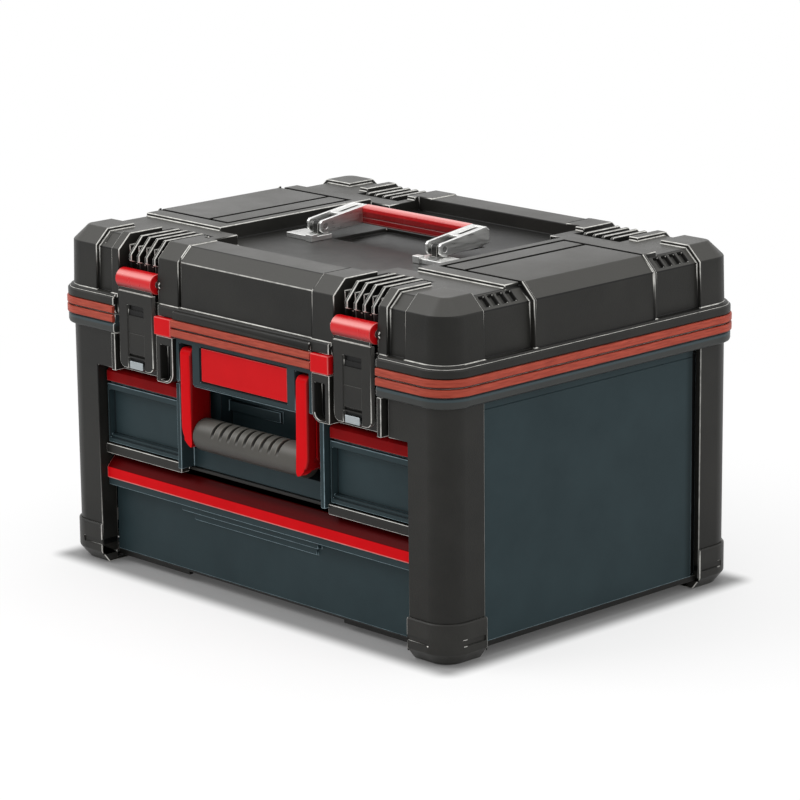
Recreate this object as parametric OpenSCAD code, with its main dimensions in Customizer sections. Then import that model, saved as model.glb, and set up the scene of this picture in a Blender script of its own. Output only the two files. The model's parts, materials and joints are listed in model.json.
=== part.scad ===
// Portable tool box with drawers.
// Millimetres, +Z up. The origin is on the floor, under the middle of the case.
// The front, with the latches and the carry handle, looks towards -Y.

/* [Case] */
// Width over the corner posts
case_w = 446; // [440:1:456]
// Depth over the corner posts, front to back
case_d = 326; // [322:1:336]
// Radius of the upright corners
corner_r = 21; // [20:0.5:22]
// How far the rim stands out past the posts on each side
rim_out = 6; // [5.5:0.5:6.5]
// Width of a corner post across the front or back
post_w = 41; // [38:1:42]
// Width of a corner post along the side
post_side_w = 41; // [38:1:44]
// How far the side and rear panels lie behind the post faces
panel_inset = 2.5; // [2:0.5:3.5]

/* [Heights] */
// Top of the foot caps
foot_top_z = 34; // [30:1:38]
// Underside of the rim collar, where the posts end
collar_z = 201; // [200:0.5:202]
// Parting line between case and lid
parting_z = 217; // [216:0.5:218]
// Top of the flange around the lid
flange_top_z = 233; // [232:0.5:234]
// Height at which the lid wall turns into the chamfer
shoulder_z = 270; // [268:0.5:271]
// Top of the raised areas on the lid
lid_top_z = 282; // [281:0.5:283]
// Floor of the recess that holds the top handle
recess_z = 270; // [269:0.5:270.5]

/* [Drawers] */
// Top surface of the shelf between the lower and the upper drawers
shelf_z = 99; // [97:0.5:100]
// Underside of the headers above the upper drawers
header_z = 170; // [169:0.5:171]
// Depth of the drawer boxes behind their fronts
drawer_depth = 280; // [240:1:282]
// Wall thickness of the drawer boxes
drawer_wall = 2.4; // [2:0.1:3]
// Height of the lower drawer's pull lip
lip_h = 19; // [17:0.5:19]

/* [Latches] */
// Distance of each latch from the middle
latch_x = 127; // [126.5:0.5:127.5]
// Width of a latch plate
latch_w = 41.5; // [40:0.5:42]
// Radius of the pivot bar
latch_bar_r = 8.4; // [7.8:0.2:8.4]
// Thickness of a latch plate
latch_t = 4.4; // [4.2:0.1:4.6]
// Width of the release button
button_w = 19.4; // [16:0.2:19.6]
// How far the release button travels
button_travel = 2; // [1:0.5:2]

/* [Carry handle] */
// Distance of each handle arm from the middle
arm_x = 68.2; // [68:0.1:68.4]
// Width of a handle arm
arm_w = 13.4; // [12.4:0.2:13.4]
// Radius of the grip
grip_r = 13.4; // [12.4:0.2:13.4]
// Number of finger grooves around the grip
grip_grooves = 9; // [5:1:9]

/* [Top handle] */
// Distance of each bracket from the middle
bracket_x = 69; // [68.5:0.5:69.5]
// Width over the two cheeks of a bracket
bracket_w = 17; // [16:0.5:17.5]
// Length of a bracket behind its pivot
bracket_l = 50; // [48:1:50]

/* [Hidden] */
$fn = 64;

// Case
half_w = case_w / 2;
half_d = case_d / 2;
rim_r = corner_r + rim_out;
post_in_x = half_w - post_w;
post_in_y = half_d - post_side_w;
post_t_front = 16.5;
post_t_rear = 13;
post_t_side = 10;
panel_t = 3.5;
panel_slot = [6.8, 2.6];
panel_line = [193.8, 0.9, 0.6];
panel_low_z = 12.6;
rail_t = 3;
panel_x = half_w - panel_inset;
panel_y = half_d - panel_inset;
base_z = 8;
base_t = 3;
sill_y = -146.5;
sill_back_y = -142;
base_front_y = -142.2;
sill_top_z = 9.6;
sill_step_x = 92;
sill_mid_z = 7.8;
sill_low_z = 5;

// Foot caps
cap_out = 2;
cap_bevel = 8;
cap_in = 0.6;
cap_slot = [24.6, 4.4];
cap_slot_z = 15.8;
cap_wall = 2;
cap_floor_t = 2.5;
cap_slot_depth = 1.2;

// Rim of the case
rim_wall = 9;
collar_h = 8.4;
core_out = rim_out - 3;
core_top_z = parting_z - 0.2;
rim_open_x = half_w - rim_wall;
rim_open_y = half_d - rim_wall;
band_gap = 0.5;
seal_w = 3.5;
seal_x = half_w - 2;
seal_y = half_d - 2;
seal_r = corner_r - 2;
seal_depth = 2;
notch_y = -162.2;
notch_low_y = -160.5;
bracket_front = -167.3;
leg_x = latch_x + 26.8;
leg_w = 4.5;
leg_slot = 3.2;
catch_x = [81.8, 101.6];
catch_top_z = 208.4;
catch_rim = [3.3, 4.9];
catch_pocket_z = [172, 201.2];
catch_depth = 8;
catch_r = 9;
header_y = -157;
header_t = 4;

// Shelf, deck and drawers
shelf_t = 3;
shelf_front_y = -148;
strip_front_y = -156.3;
strip_z = [94.2, 102.3];
deck_z = 171;
deck_t = 3;
column_x = 86.7;
rib_t = 4.5;
partition_t = 2.5;
runner_in = [24, 20, 12];
runner_w = 8;
runner_gap = 0.3;
runner_y = [-140, 130];
front_t = 4;
front_gap = 1;
box_gap = 1.6;
lower_front_y = -147;
lower_plate_z = 10;
lower_z = 17;
lower_top_z = 84;
lower_plate_top_z = 90;
lip_z = 73;
lip_out = 10.5;
lip_edge_z = 82.4;
ledge_z = 67;
ledge_out = 8.5;
relief = [[-93, 69, 61, 67, 4.5], [-80, 65, 55, 61, 2]];
upper_front_y = -155;
upper_front_t = 9;
upper_z = 103.7;
upper_top_z = 153.3;
upper_box_top_z = 162;
upper_bar_z = 107.5;
upper_panel_z = [110.2, 148.2];
upper_panel_depth = 6;
rail_z = 155.6;
rail_edge_z = 164.6;
rail_top_z = 169.3;
upper_in_x = column_x + 2;
upper_out_x = post_in_x - 2;
guide_gap = 0.4;
guide_t = 3;
guide_h = 10;
guide_z = [34, 122];

// Column, plaque and carry handle
housing_x = 80;
housing_front = -165;
housing_low_z = 171.6;
housing_t = 3;
housing_back = -138.8;
column_top_z = 209.4;
rib_front = -160;
wall_y = -137.5;
wall_back = wall_y + 3;
panel_front_y = -146.5;
panel_top_z = 115;
slot_x = [60.6, 76];
slot_top_z = 205.3;
bar_low_z = 174;
plaque = [100.6, 1.6, 27];
plaque_z = 191.5;
plaque_gap = 0.9;
plaque_sunk = 0.9;
well_x = 58;
well_top_z = 167.5;
well_y = -126;
well_t = 2.5;
well_ledge_x = 3;
well_ledge_z = [146.5, 155];
well_ledge_out = 3;
arm_pivot = [-155.3, 192.5];
arm_y = [-166.3, -144.3];
arm_top_z = 202.3;
arm_corner_r = 5.5;
arm_rear_z = 126;
arm_tip_z = 121;
arm_tip_r = 4;
arm_sweep_r = 19;
arm_sweep_z = 139;
arm_groove_y = [-157, -156];
arm_groove_depth = 1;
grip_at = [-152.6, 130.8];
grip_pitch = 9.6;
grip_groove_w = 1.6;
grip_groove_depth = 1.4;
handle_pin_r = 2.5;
grip_rod_r = 4.2;
grip_l = 2 * arm_x - arm_w - 0.4;
running_gap = 0.06;

// Latches and hinges
bay_w = 49;
bar_at = [-160.5, 247.7];
bar_l = 43.2;
latch_pin_r = 2;
latch_pin_l = 50;
latch_front = -167;
latch_low_z = 175;
latch_top_z = 238.4;
latch_round = 6;
latch_slot_w = 20.2;
latch_step_z = [219, 223.5, 227.5];
latch_ledge_z = [183.8, 185.2];
channel_deep = 2.6;
channel_step = 1.6;
channel_gap = 2.2;
tile_sunk = 0.7;
clip_w = 16;
clip_top_z = 181.4;
button_z = [187.3, 204.5];
button_edge = 1.5;
button_gap = 0.3;
button_seat = button_travel + 0.5;
ear_x = [-26.9, 22];
ear_t = 4.9;
ear_r = 3.5;
ear_front = -161.5;
hinge_at = [169.6, 217];
hinge_r = 4.2;
hinge_pin_r = 2;
hinge_w = 45;
hinge_leaf_t = 2.2;
hinge_split = 1.5;
knuckle_gap = 0.4;
knuckle_l = (hinge_w - 4 * knuckle_gap) / 5;
rear_screw_z = [24, 188];

// Lid
lid_gap = 0.4;
lid_z = parting_z + lid_gap;
flange_z = parting_z + 7;
skin_drop = 3;
skin_in = 3.5;
draft = 1;
chamfer_in = 12.5;
bay_depth = 13;
bay_floor_z = lid_top_z - 10;
bay_back_y = half_d - bay_depth;
bay_x0 = latch_x - bay_w / 2;
bay_x1 = latch_x + bay_w / 2;
bay_end_y = 104;
bay_rib_w = 9.5;
fin_t = 3;
fin_count = 4;
fin_in = 11.8;
fin_step_z = [258.5, 261.5];
corner_x = 180;
corner_y = 121;
panel_half_y = 66;
side_rib_w = 3;
front_panel_x = 93;
front_panel_y = 120;
front_groove_x = [77, 78.2];
panel_half_x = 78;
panel_drop = 1.6;
platform_x = 115;
platform_y = 85;
groove_w = 4.2;
groove_depth = 2.8;
strip_x = [125, 148.5];
pad_y = 68;
pad_x = 208;
louvre_count = 4;
louvre_pitch = 9.5;
louvre_w = 6;
louvre_y = 97;
lid_wall = 2.5;
finger_well = [57, -12, 47];
finger_well_depth = 3.5;

// Top handle
lift_pivot = [-18.2, 280.8];
lift_r = 5.5;
lift_turn_r = 6.2;
lift_corner = 1.8;
lift_pin_r = 2.2;
lift_slope = 0.13;
cheek_t = 2.4;
web_y = 1;
web_sunk = 0.8;
web_t = 2.5;
lift_wall = 3;
lift_slot_r = 2;
lift_low = [[21.5, 276.6], [31.8, 278.8]];
lift_grip_y = [22.7, 31.5];
lift_grip_z = [277, 282.6, 292.4];
lug_w = 6;
lug_r = 3.8;
foot_x = [58.5, 91];
foot_y = [-34, -13];
foot_plate_t = 4.2;
foot_block = [7.5, 6.5, 6];

// Blocks of colour beside the latches
block_x = [82, 102.2];
block_front = -168.9;
block_z = [209, 223.8];
band_end_x = 81.6;

charcoal = "#3a3936";
slate = "#33434a";
red = "#c81e25";
band_red = "#a8453b";
steel = "#c4c6c8";
rubber = "#232321";

// ---- shared shapes ----

// Box between two opposite corners.
module slab(low, high) {
    translate(low) cube(high - low);
}

// The children and their mirror image on the other side of the box.
module both_sides() {
    children();
    mirror([1, 0, 0]) children();
}

// The children on the left, or mirrored to the right.
module on_side(side) {
    if (side < 0) mirror([1, 0, 0]) children();
    else children();
}

// The children at the front and mirrored to the back.
module front_and_back() {
    children();
    mirror([0, 1, 0]) children();
}

// An outline in [y, z] drawn out along X.
module x_prism(x0, x1) {
    translate([x0, 0, 0]) rotate([90, 0, 90]) linear_extrude(x1 - x0) children();
}

// Rod along X.
module x_rod(x0, x1, at, r) {
    translate([x0, at[0], at[1]]) rotate([0, 90, 0]) cylinder(h = x1 - x0, r = r);
}

// Rectangle with true round corners.
module rounded_rect(w, d, r) {
    square([w - 2 * r, d], center = true);
    square([w, d - 2 * r], center = true);
    for (sx = [-1, 1], sy = [-1, 1])
        translate([sx * (w / 2 - r), sy * (d / 2 - r)]) circle(r);
}

// Block with round upright corners whose side follows [inset, height] points, bottom to top.
module profile_block(w, d, r, pts) {
    top = len(pts) - 1;
    for (turn = [0 : 3])
        rotate([0, 0, 90 * turn])
            translate([(turn % 2 == 0 ? w : d) / 2 - r, (turn % 2 == 0 ? d : w) / 2 - r, 0])
                rotate_extrude(angle = 90)
                    polygon(concat([[0, pts[0][1]]], [for (p = pts) [r - p[0], p[1]]], [[0, pts[top][1]]]));
    x_prism(-(w / 2 - r), w / 2 - r)
        polygon(concat([for (p = pts) [d / 2 - p[0], p[1]]],
                       [for (i = [top : -1 : 0]) [-(d / 2 - pts[i][0]), pts[i][1]]]));
    rotate([0, 0, 90]) x_prism(-(d / 2 - r), d / 2 - r)
        polygon(concat([for (p = pts) [w / 2 - p[0], p[1]]],
                       [for (i = [top : -1 : 0]) [-(w / 2 - pts[i][0]), pts[i][1]]]));
}

// Flat ring with round corners around the whole box.
module ring(out, inner_x, inner_y, z0, z1, inner_r = 12) {
    translate([0, 0, z0]) linear_extrude(z1 - z0) difference() {
        rounded_rect(case_w + 2 * out, case_d + 2 * out, corner_r + out);
        rounded_rect(2 * inner_x, 2 * inner_y, inner_r);
    }
}

// Slotted screw head standing on z = 0.
module screw_head(r, h) {
    difference() {
        cylinder(h = h, r1 = r, r2 = r * 0.77);
        translate([-r * 0.6, -r * 0.15, h - 0.6]) cube([r * 1.2, r * 0.3, 1]);
    }
}

// ---- case ----

module base_tray() color(charcoal) {
    inner_x = panel_x - panel_t;
    inner_y = panel_y - panel_t;
    slab([-inner_x, -post_in_y + 0.5, base_z], [inner_x, post_in_y - 0.5, base_z + base_t]);
    // rails under the side panels
    both_sides()
        slab([inner_x - 0.1, -post_in_y + 0.5, base_z],
             [inner_x + rail_t, post_in_y - 0.5, panel_low_z - 0.1]);
    slab([-post_in_x + 0.5, post_in_y - 0.5, base_z], [post_in_x - 0.5, inner_y, base_z + base_t]);
    slab([-post_in_x + 0.5, base_front_y, base_z], [post_in_x - 0.5, -post_in_y + 0.5, base_z + base_t]);
    // front sill, deeper under both ends than in the middle
    slab([-sill_step_x, sill_y, sill_mid_z], [sill_step_x, sill_back_y, sill_top_z]);
    both_sides()
        slab([sill_step_x, sill_y, sill_low_z], [post_in_x - 0.5, sill_back_y, sill_top_z]);
}

// Plan of a post with the given thickness across its face.
module post_outline(face_t) {
    intersection() {
        rounded_rect(case_w, case_d, corner_r);
        difference() {
            translate([post_in_x, -half_d]) square([post_w, post_side_w]);
            translate([post_in_x - 1, -half_d + face_t])
                square([post_w - post_t_side + 1, post_side_w]);
        }
    }
}

// Corner post, drawn at the front right; the front ones carry a head over the drawers.
module post(face_t, with_head) {
    translate([0, 0, base_z]) linear_extrude(collar_z - base_z) post_outline(face_t);
    if (with_head)
        slab([leg_x + leg_w + leg_slot, -half_d, header_z], [post_in_x, header_y + header_t, collar_z]);
}

module post_front_left() color(charcoal) on_side(-1) post(post_t_front, true);
module post_front_right() color(charcoal) post(post_t_front, true);
module post_rear_left() color(charcoal) rotate([0, 0, 180]) post(post_t_rear, false);
module post_rear_right() color(charcoal) mirror([0, 1, 0]) post(post_t_rear, false);

// Foot cap, drawn at the front right: a thin skirt round the post on a bevelled pad.
module foot_cap() {
    out = cap_out;
    difference() {
        intersection() {
            profile_block(case_w + 2 * out, case_d + 2 * out, corner_r + out,
                          [[cap_bevel, 0], [0, cap_bevel + 2], [0, foot_top_z - 1], [1, foot_top_z]]);
            slab([post_in_x - cap_in, -half_d - out, -1],
                 [half_w + out, -post_in_y + cap_in, foot_top_z + 1]);
        }
        translate([0, 0, base_z]) linear_extrude(foot_top_z) rounded_rect(case_w, case_d, corner_r);
        // hollow under the open side of the post
        slab([post_in_x - cap_in - 1, -half_d + post_t_rear + cap_wall, cap_floor_t],
             [half_w - post_t_side - cap_wall, -post_in_y + cap_in + 1, base_z + 1]);
        // moulded slots on both faces
        translate([post_in_x - 2, -half_d - out - 1, cap_slot_z])
            cube([cap_slot[0], cap_slot_depth + 1, cap_slot[1]]);
        translate([half_w + out - cap_slot_depth, -post_in_y - 1.4 - cap_slot[0], cap_slot_z])
            cube([cap_slot_depth + 1, cap_slot[0], cap_slot[1]]);
    }
}

module foot_cap_front_left() color(charcoal) on_side(-1) foot_cap();
module foot_cap_front_right() color(charcoal) foot_cap();
module foot_cap_rear_left() color(charcoal) rotate([0, 0, 180]) foot_cap();
module foot_cap_rear_right() color(charcoal) mirror([0, 1, 0]) foot_cap();

// Side panel with a line near its top and a slot in front of the rear post.
module side_panel() {
    slot_y = post_in_y - panel_slot[0];
    difference() {
        slab([panel_x - panel_t, -post_in_y, panel_low_z], [panel_x, post_in_y, collar_z]);
        slab([panel_x - panel_slot[1], slot_y, base_z], [panel_x + 1, post_in_y + 1, collar_z + 1]);
        slab([panel_x - panel_line[2], -post_in_y - 1, panel_line[0]],
             [panel_x + 1, slot_y + 1, panel_line[0] + panel_line[1]]);
    }
}

module side_panel_left() color(slate) on_side(-1) side_panel();
module side_panel_right() color(slate) side_panel();

module rear_panel() color(slate) {
    slab([-post_in_x, panel_y - panel_t, base_z + 1], [post_in_x, panel_y, collar_z]);
}

// ---- rim of the case ----

// Plan of the seal around the rim, smaller than its groove by a gap on each side.
module seal_plan(gap) {
    out = seal_r - gap;
    difference() {
        rounded_rect(2 * (seal_x - gap), 2 * (seal_y - gap), out);
        rounded_rect(2 * (seal_x - seal_w + gap), 2 * (seal_y - seal_w + gap), out - seal_w + 2 * gap);
    }
}

// Outline in [x, z] between two corners, with the lower corner towards the middle rounded.
module catch_outline(low, high, r) {
    difference() {
        translate(low) square(high - low);
        difference() {
            translate([low[0] - 1, low[1] - 1]) square(r + 1);
            translate([low[0] + r, low[1] + r]) circle(r);
        }
    }
}

// Bracket between the column and a latch, with a dark pocket in its face.
module catch_bracket() {
    difference() {
        translate([0, header_y, 0]) rotate([90, 0, 0]) linear_extrude(header_y - bracket_front)
            catch_outline([catch_x[0], header_z], [catch_x[1], catch_top_z], catch_r);
        // room for the collar behind its top
        slab([catch_x[0] - 1, notch_low_y - 0.1, collar_z - 0.1], [catch_x[1] + 1, header_y + 1, catch_top_z + 1]);
        translate([0, bracket_front + catch_depth, 0]) rotate([90, 0, 0]) linear_extrude(catch_depth + 1)
            catch_outline([catch_x[0] + catch_rim[0], catch_pocket_z[0]],
                          [catch_x[1] - catch_rim[1], catch_pocket_z[1]], catch_r - catch_rim[0]);
    }
}

// Space in front of y, between x0 and x1 on both sides.
module front_notch(x0, x1, y, z0, z1) both_sides()
    slab([x0, -half_d - 20, z0], [x1, y, z1]);

// Moulded collar: round lower edge, core for the band and groove for the seal.
module rim_collar() color(charcoal) {
    out = rim_out - 1;
    difference() {
        union() {
            intersection() {
                profile_block(case_w + 2 * out, case_d + 2 * out, corner_r + out,
                              [[2, collar_z], [0.6, collar_z + 0.8], [0, collar_z + 2.4],
                               [0, collar_z + collar_h - 1], [1, collar_z + collar_h]]);
                ring(out, rim_open_x, rim_open_y, collar_z - 1, collar_z + collar_h);
            }
            ring(core_out, rim_open_x, rim_open_y, collar_z + collar_h, core_top_z);
        }
        // the column and the latch guides take the collar's place in the middle of the front
        slab([-leg_x, -half_d - 20, collar_z - 1], [leg_x, housing_back, parting_z]);
        // groove for the seal
        translate([0, 0, core_top_z - seal_depth]) linear_extrude(5) seal_plan(0);
        // clearance for the hinges
        both_sides()
            slab([bay_x0, half_d, collar_z - 1], [bay_x1, half_d + 20, parting_z + 1]);
    }
}

// Leg and bracket on the two sides of each latch, and the collar set back behind it.
module latch_guides() color(charcoal) both_sides() {
    x0 = housing_x + 0.1;
    x1 = leg_x - 0.1;
    slab([leg_x, bracket_front, header_z], [leg_x + leg_w, header_y, collar_z]);
    catch_bracket();
    difference() {
        union() {
            slab([x0, notch_low_y, collar_z], [x1, -rim_open_y, collar_z + collar_h]);
            slab([x0, notch_y, collar_z + collar_h], [x1, -rim_open_y, core_top_z]);
        }
        // groove for the seal
        slab([x0 - 1, -seal_y, core_top_z - seal_depth], [x1 + 1, seal_w - seal_y, parting_z]);
    }
}

// Strip of colour around the rim, open at the hinges and at the latches.
module strip_ring(z0, z1) {
    difference() {
        intersection() {
            profile_block(case_w + 2 * rim_out, case_d + 2 * rim_out, rim_r,
                          [[0.7, z0], [0, z0 + 0.7], [0, z1 - 0.7], [0.7, z1]]);
            ring(rim_out, half_w + core_out, half_d + core_out, z0, z1, corner_r + core_out);
        }
        both_sides()
            slab([bay_x0, half_d, z0 - 1], [bay_x1, half_d + 20, z1 + 1]);
        front_notch(band_end_x, leg_x + 0.2, -half_d, z0 - 1, z1 + 1);
    }
}

module rim_band() color(band_red) strip_ring(collar_z + collar_h + band_gap, parting_z - band_gap);

module rim_gasket() color(rubber) {
    translate([0, 0, core_top_z - seal_depth]) linear_extrude(seal_depth + 0.2) seal_plan(0.2);
}

// ---- inside ----

module drawer_headers() color(charcoal) both_sides()
    slab([housing_x + 0.2, header_y, header_z], [leg_x + leg_w + leg_slot, header_y + header_t, collar_z]);

module compartment_floor() color(slate) {
    side_x = panel_x - panel_t;
    rear_y = panel_y - panel_t;
    corner_in_x = half_w - post_t_side;
    difference() {
        union() {
            slab([-side_x, -post_in_y, deck_z], [side_x, post_in_y, deck_z + deck_t]);
            slab([-post_in_x, header_y + header_t, deck_z], [post_in_x, rear_y, deck_z + deck_t]);
            slab([-corner_in_x, -half_d + post_t_front, deck_z],
                 [corner_in_x, half_d - post_t_rear, deck_z + deck_t]);
        }
        slab([-housing_x - 0.2, header_y, deck_z - 1], [housing_x + 0.2, wall_back, deck_z + deck_t + 1]);
    }
}

module drawer_shelf() color(charcoal) {
    side_x = panel_x - panel_t;
    x = post_in_x - 0.2;
    slab([-side_x, -post_in_y + 0.3, shelf_z - shelf_t], [side_x, post_in_y - 0.3, shelf_z]);
    slab([-x, post_in_y - 0.3, shelf_z - shelf_t], [x, panel_y - panel_t, shelf_z]);
    slab([-x, shelf_front_y, shelf_z - shelf_t], [x, -post_in_y + 0.3, shelf_z]);
    // strip seen between the upper and the lower drawers
    both_sides()
        slab([column_x + 0.2, strip_front_y, strip_z[0]], [x, shelf_front_y, strip_z[1]]);
}

module drawer_partitions() color(charcoal) both_sides()
    slab([column_x - partition_t, wall_back, shelf_z], [column_x, panel_y - panel_t, deck_z]);

// Low strips that the drawers slide on and side guides that keep them straight.
module drawer_runners() color(steel) both_sides() {
    slab([post_in_x - runner_in[0], runner_y[0], base_z + base_t],
         [post_in_x - runner_in[0] + runner_w, runner_y[1], lower_z - runner_gap]);
    for (x = [column_x + runner_in[2], post_in_x - runner_in[1]])
        slab([x, runner_y[0], shelf_z], [x + runner_w, runner_y[1], upper_z - runner_gap]);
    for (z = guide_z)
        slab([post_in_x - guide_gap, -half_d + post_t_front, z],
             [post_in_x - guide_gap + guide_t, half_d - post_t_rear, z + guide_h]);
}

// ---- middle column with the carry handle ----

module centre_column() color(slate) {
    inner_x = column_x - rib_t + 0.1;
    pocket = [plaque[0] / 2 + plaque_gap, plaque[2] / 2 + plaque_gap];
    difference() {
        union() {
            both_sides() {
                slab([column_x - rib_t, rib_front, shelf_z], [column_x, wall_back, header_z]);
                slab([slot_x[1], housing_front, bar_low_z], [housing_x, housing_back, column_top_z]);
            }
            slab([-inner_x, wall_y, shelf_z], [inner_x, wall_back, header_z]);
            slab([-housing_x, wall_y, header_z], [housing_x, wall_back, deck_z + deck_t]);
            slab([-housing_x, housing_back - housing_t, header_z], [housing_x, housing_back, column_top_z]);
            slab([-housing_x, housing_back - 1, header_z], [housing_x, wall_y + 1, deck_z + deck_t]);
            // panel under the grip
            slab([-inner_x, panel_front_y, shelf_z], [inner_x, wall_y + 1, panel_top_z]);
            // housing with the plaque, and the bridge over the slots of the arms
            slab([-slot_x[0], housing_front, housing_low_z], [slot_x[0], housing_back, column_top_z]);
            slab([-housing_x, housing_front, slot_top_z], [housing_x, housing_back, column_top_z]);
            slab([-well_x - well_t, wall_y, panel_top_z - well_t],
                 [well_x + well_t, well_y + well_t, well_top_z + well_t]);
            // the rim goes on over the housing
            slab([-housing_x, -half_d - core_out, column_top_z], [housing_x, -rim_open_y, core_top_z]);
        }
        // groove for the seal
        slab([-housing_x - 1, -seal_y, core_top_z - seal_depth],
             [housing_x + 1, seal_w - seal_y, parting_z]);
        // finger well behind the grip
        slab([-well_x, wall_y - 1, panel_top_z], [well_x, well_y, well_top_z]);
        // pocket for the plaque and the hollow behind it
        slab([-pocket[0], housing_front - 1, plaque_z - pocket[1]],
             [pocket[0], housing_front + plaque_sunk + plaque[1], plaque_z + pocket[1]]);
        slab([-plaque[0] / 2, housing_front + 6, housing_low_z + 4],
             [plaque[0] / 2, housing_back + 1, column_top_z - 5]);
        // a step along the lower edge of the housing
        slab([-slot_x[0] - 1, housing_front - 1, housing_low_z - 1],
             [slot_x[0] + 1, housing_front + 1.5, housing_low_z + 2]);
        both_sides()
            x_rod(slot_x[0] - 3, housing_x - 0.8, arm_pivot, handle_pin_r);
    }
    // ledge on the back of the finger well
    slab([-well_x - 1, well_y - well_ledge_out, well_ledge_z[0]],
         [well_ledge_x, well_y + 1, well_ledge_z[1]]);
}

module front_plaque() color(red)
    slab([-plaque[0] / 2, housing_front + plaque_sunk, plaque_z - plaque[2] / 2],
         [plaque[0] / 2, housing_front + plaque_sunk + plaque[1], plaque_z + plaque[2] / 2]);

module carry_handle_pins() color(steel) both_sides()
    x_rod(slot_x[0] - 3, housing_x - 0.8, arm_pivot, handle_pin_r);

// Side view of an arm: the strip at the back ends above the tip.
module arm_side() {
    r = arm_corner_r;
    difference() {
        union() {
            translate([arm_y[0], arm_tip_z - 1])
                square([arm_groove_y[0] - arm_y[0], arm_top_z - arm_tip_z + 1]);
            translate([arm_groove_y[0] - 0.1, arm_rear_z])
                square([arm_y[1] - arm_groove_y[0] + 0.1, arm_top_z - arm_rear_z]);
        }
        // round top corners
        translate([arm_y[0] - 1, arm_top_z - r]) square([r + 1, r + 1]);
        translate([arm_y[1] - r, arm_top_z - r]) square([r + 1, r + 1]);
    }
    for (y = [arm_y[0] + r, arm_y[1] - r])
        translate([y, arm_top_z - r]) circle(r);
}

// Front view of an arm from its inner edge: a tongue whose outer side sweeps in to the tip.
module arm_front() {
    translate([0, arm_sweep_z]) square([arm_w, arm_top_z - arm_sweep_z]);
    intersection() {
        translate([arm_w - arm_sweep_r, arm_sweep_z]) circle(arm_sweep_r);
        union() {
            translate([0, arm_tip_z + arm_tip_r]) square([arm_w, arm_sweep_z - arm_tip_z - arm_tip_r]);
            translate([arm_tip_r, arm_tip_z]) square([arm_w, arm_sweep_z - arm_tip_z]);
            translate([arm_tip_r, arm_tip_z + arm_tip_r]) circle(arm_tip_r);
        }
    }
}

// Handle arm, drawn on the right.
module arm() {
    x0 = arm_x - arm_w / 2;
    difference() {
        intersection() {
            x_prism(x0, x0 + arm_w) arm_side();
            translate([x0, arm_y[1] + 1, 0]) rotate([90, 0, 0])
                linear_extrude(arm_y[1] - arm_y[0] + 2) arm_front();
        }
        // groove along the outer face
        slab([x0 + arm_w - arm_groove_depth, arm_groove_y[0], arm_tip_z - 1],
             [x0 + arm_w + 1, arm_groove_y[1], arm_pivot[1] - 10]);
        x_rod(slot_x[0], housing_x, arm_pivot, handle_pin_r + running_gap);
        x_rod(x0 - 1, x0 + arm_w - 4, grip_at, grip_rod_r);
    }
}

module carry_handle_arm_left() color(red) on_side(-1) arm();
module carry_handle_arm_right() color(red) arm();
module carry_handle_rod() color(steel)
    x_rod(-arm_x - arm_w / 2 + 4, arm_x + arm_w / 2 - 4, grip_at, grip_rod_r);

// Rubber sleeve with a row of grooves around its upper front.
module carry_handle_grip() color(rubber) {
    w = grip_groove_w;
    difference() {
        x_rod(-grip_l / 2, grip_l / 2, grip_at, grip_r);
        x_rod(-grip_l, grip_l, grip_at, grip_rod_r);
        for (i = [0 : grip_grooves - 1])
            translate([(i - (grip_grooves - 1) / 2) * grip_pitch - w / 2, grip_at[0], grip_at[1]])
                rotate([0, 90, 0]) difference() {
                    cylinder(h = w, r = grip_r + 1);
                    translate([0, 0, -1]) cylinder(h = w + 2, r = grip_r - grip_groove_depth);
                    translate([-0.5, -grip_r - 2, -1]) cube([grip_r + 3, 2 * grip_r + 4, w + 2]);
                }
    }
}

// ---- hinges at the back ----

module knuckle(slot) {
    x0 = latch_x - hinge_w / 2 + slot * (knuckle_l + knuckle_gap);
    x_rod(x0, x0 + knuckle_l, hinge_at, hinge_r);
}

module knuckle_web(slot, z0, z1) {
    x0 = latch_x - hinge_w / 2 + slot * (knuckle_l + knuckle_gap);
    slab([x0, half_d, z0], [x0 + knuckle_l, hinge_at[0], z1]);
}

module hinge_body_leaves() color(charcoal) both_sides() difference() {
    union() {
        slab([latch_x - hinge_w / 2, half_d, collar_z + 1],
             [latch_x + hinge_w / 2, half_d + hinge_leaf_t, hinge_at[1] - hinge_split]);
        for (slot = [0, 2, 4]) {
            knuckle(slot);
            knuckle_web(slot, hinge_at[1] - hinge_r, hinge_at[1] - hinge_split);
        }
    }
    x_rod(latch_x - hinge_w, latch_x + hinge_w, hinge_at, hinge_pin_r);
}

module hinge_lid_leaves() color(charcoal) both_sides() difference() {
    union() {
        slab([latch_x - hinge_w / 2, half_d, hinge_at[1] + hinge_split],
             [latch_x + hinge_w / 2, half_d + hinge_leaf_t, flange_top_z - 1]);
        for (slot = [1, 3]) {
            knuckle(slot);
            knuckle_web(slot, hinge_at[1] + hinge_split, hinge_at[1] + hinge_r);
        }
    }
    x_rod(latch_x - hinge_w, latch_x + hinge_w, hinge_at, hinge_pin_r + running_gap);
}

module hinge_pins() color(steel) both_sides()
    x_rod(latch_x - hinge_w / 2, latch_x + hinge_w / 2, hinge_at, hinge_pin_r);

module case_screws() color(steel) {
    for (sx = [-1, 1], z = rear_screw_z)
        translate([sx * (post_in_x - 9), panel_y, z]) rotate([-90, 0, 0]) screw_head(3.4, 1.6);
    for (sx = [-1, 1], dx = [-16, 0, 16])
        translate([sx * (latch_x + dx), half_d + hinge_leaf_t, collar_z + 5])
            rotate([-90, 0, 0]) screw_head(2.6, 1.4);
}

// ---- lid ----

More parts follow.
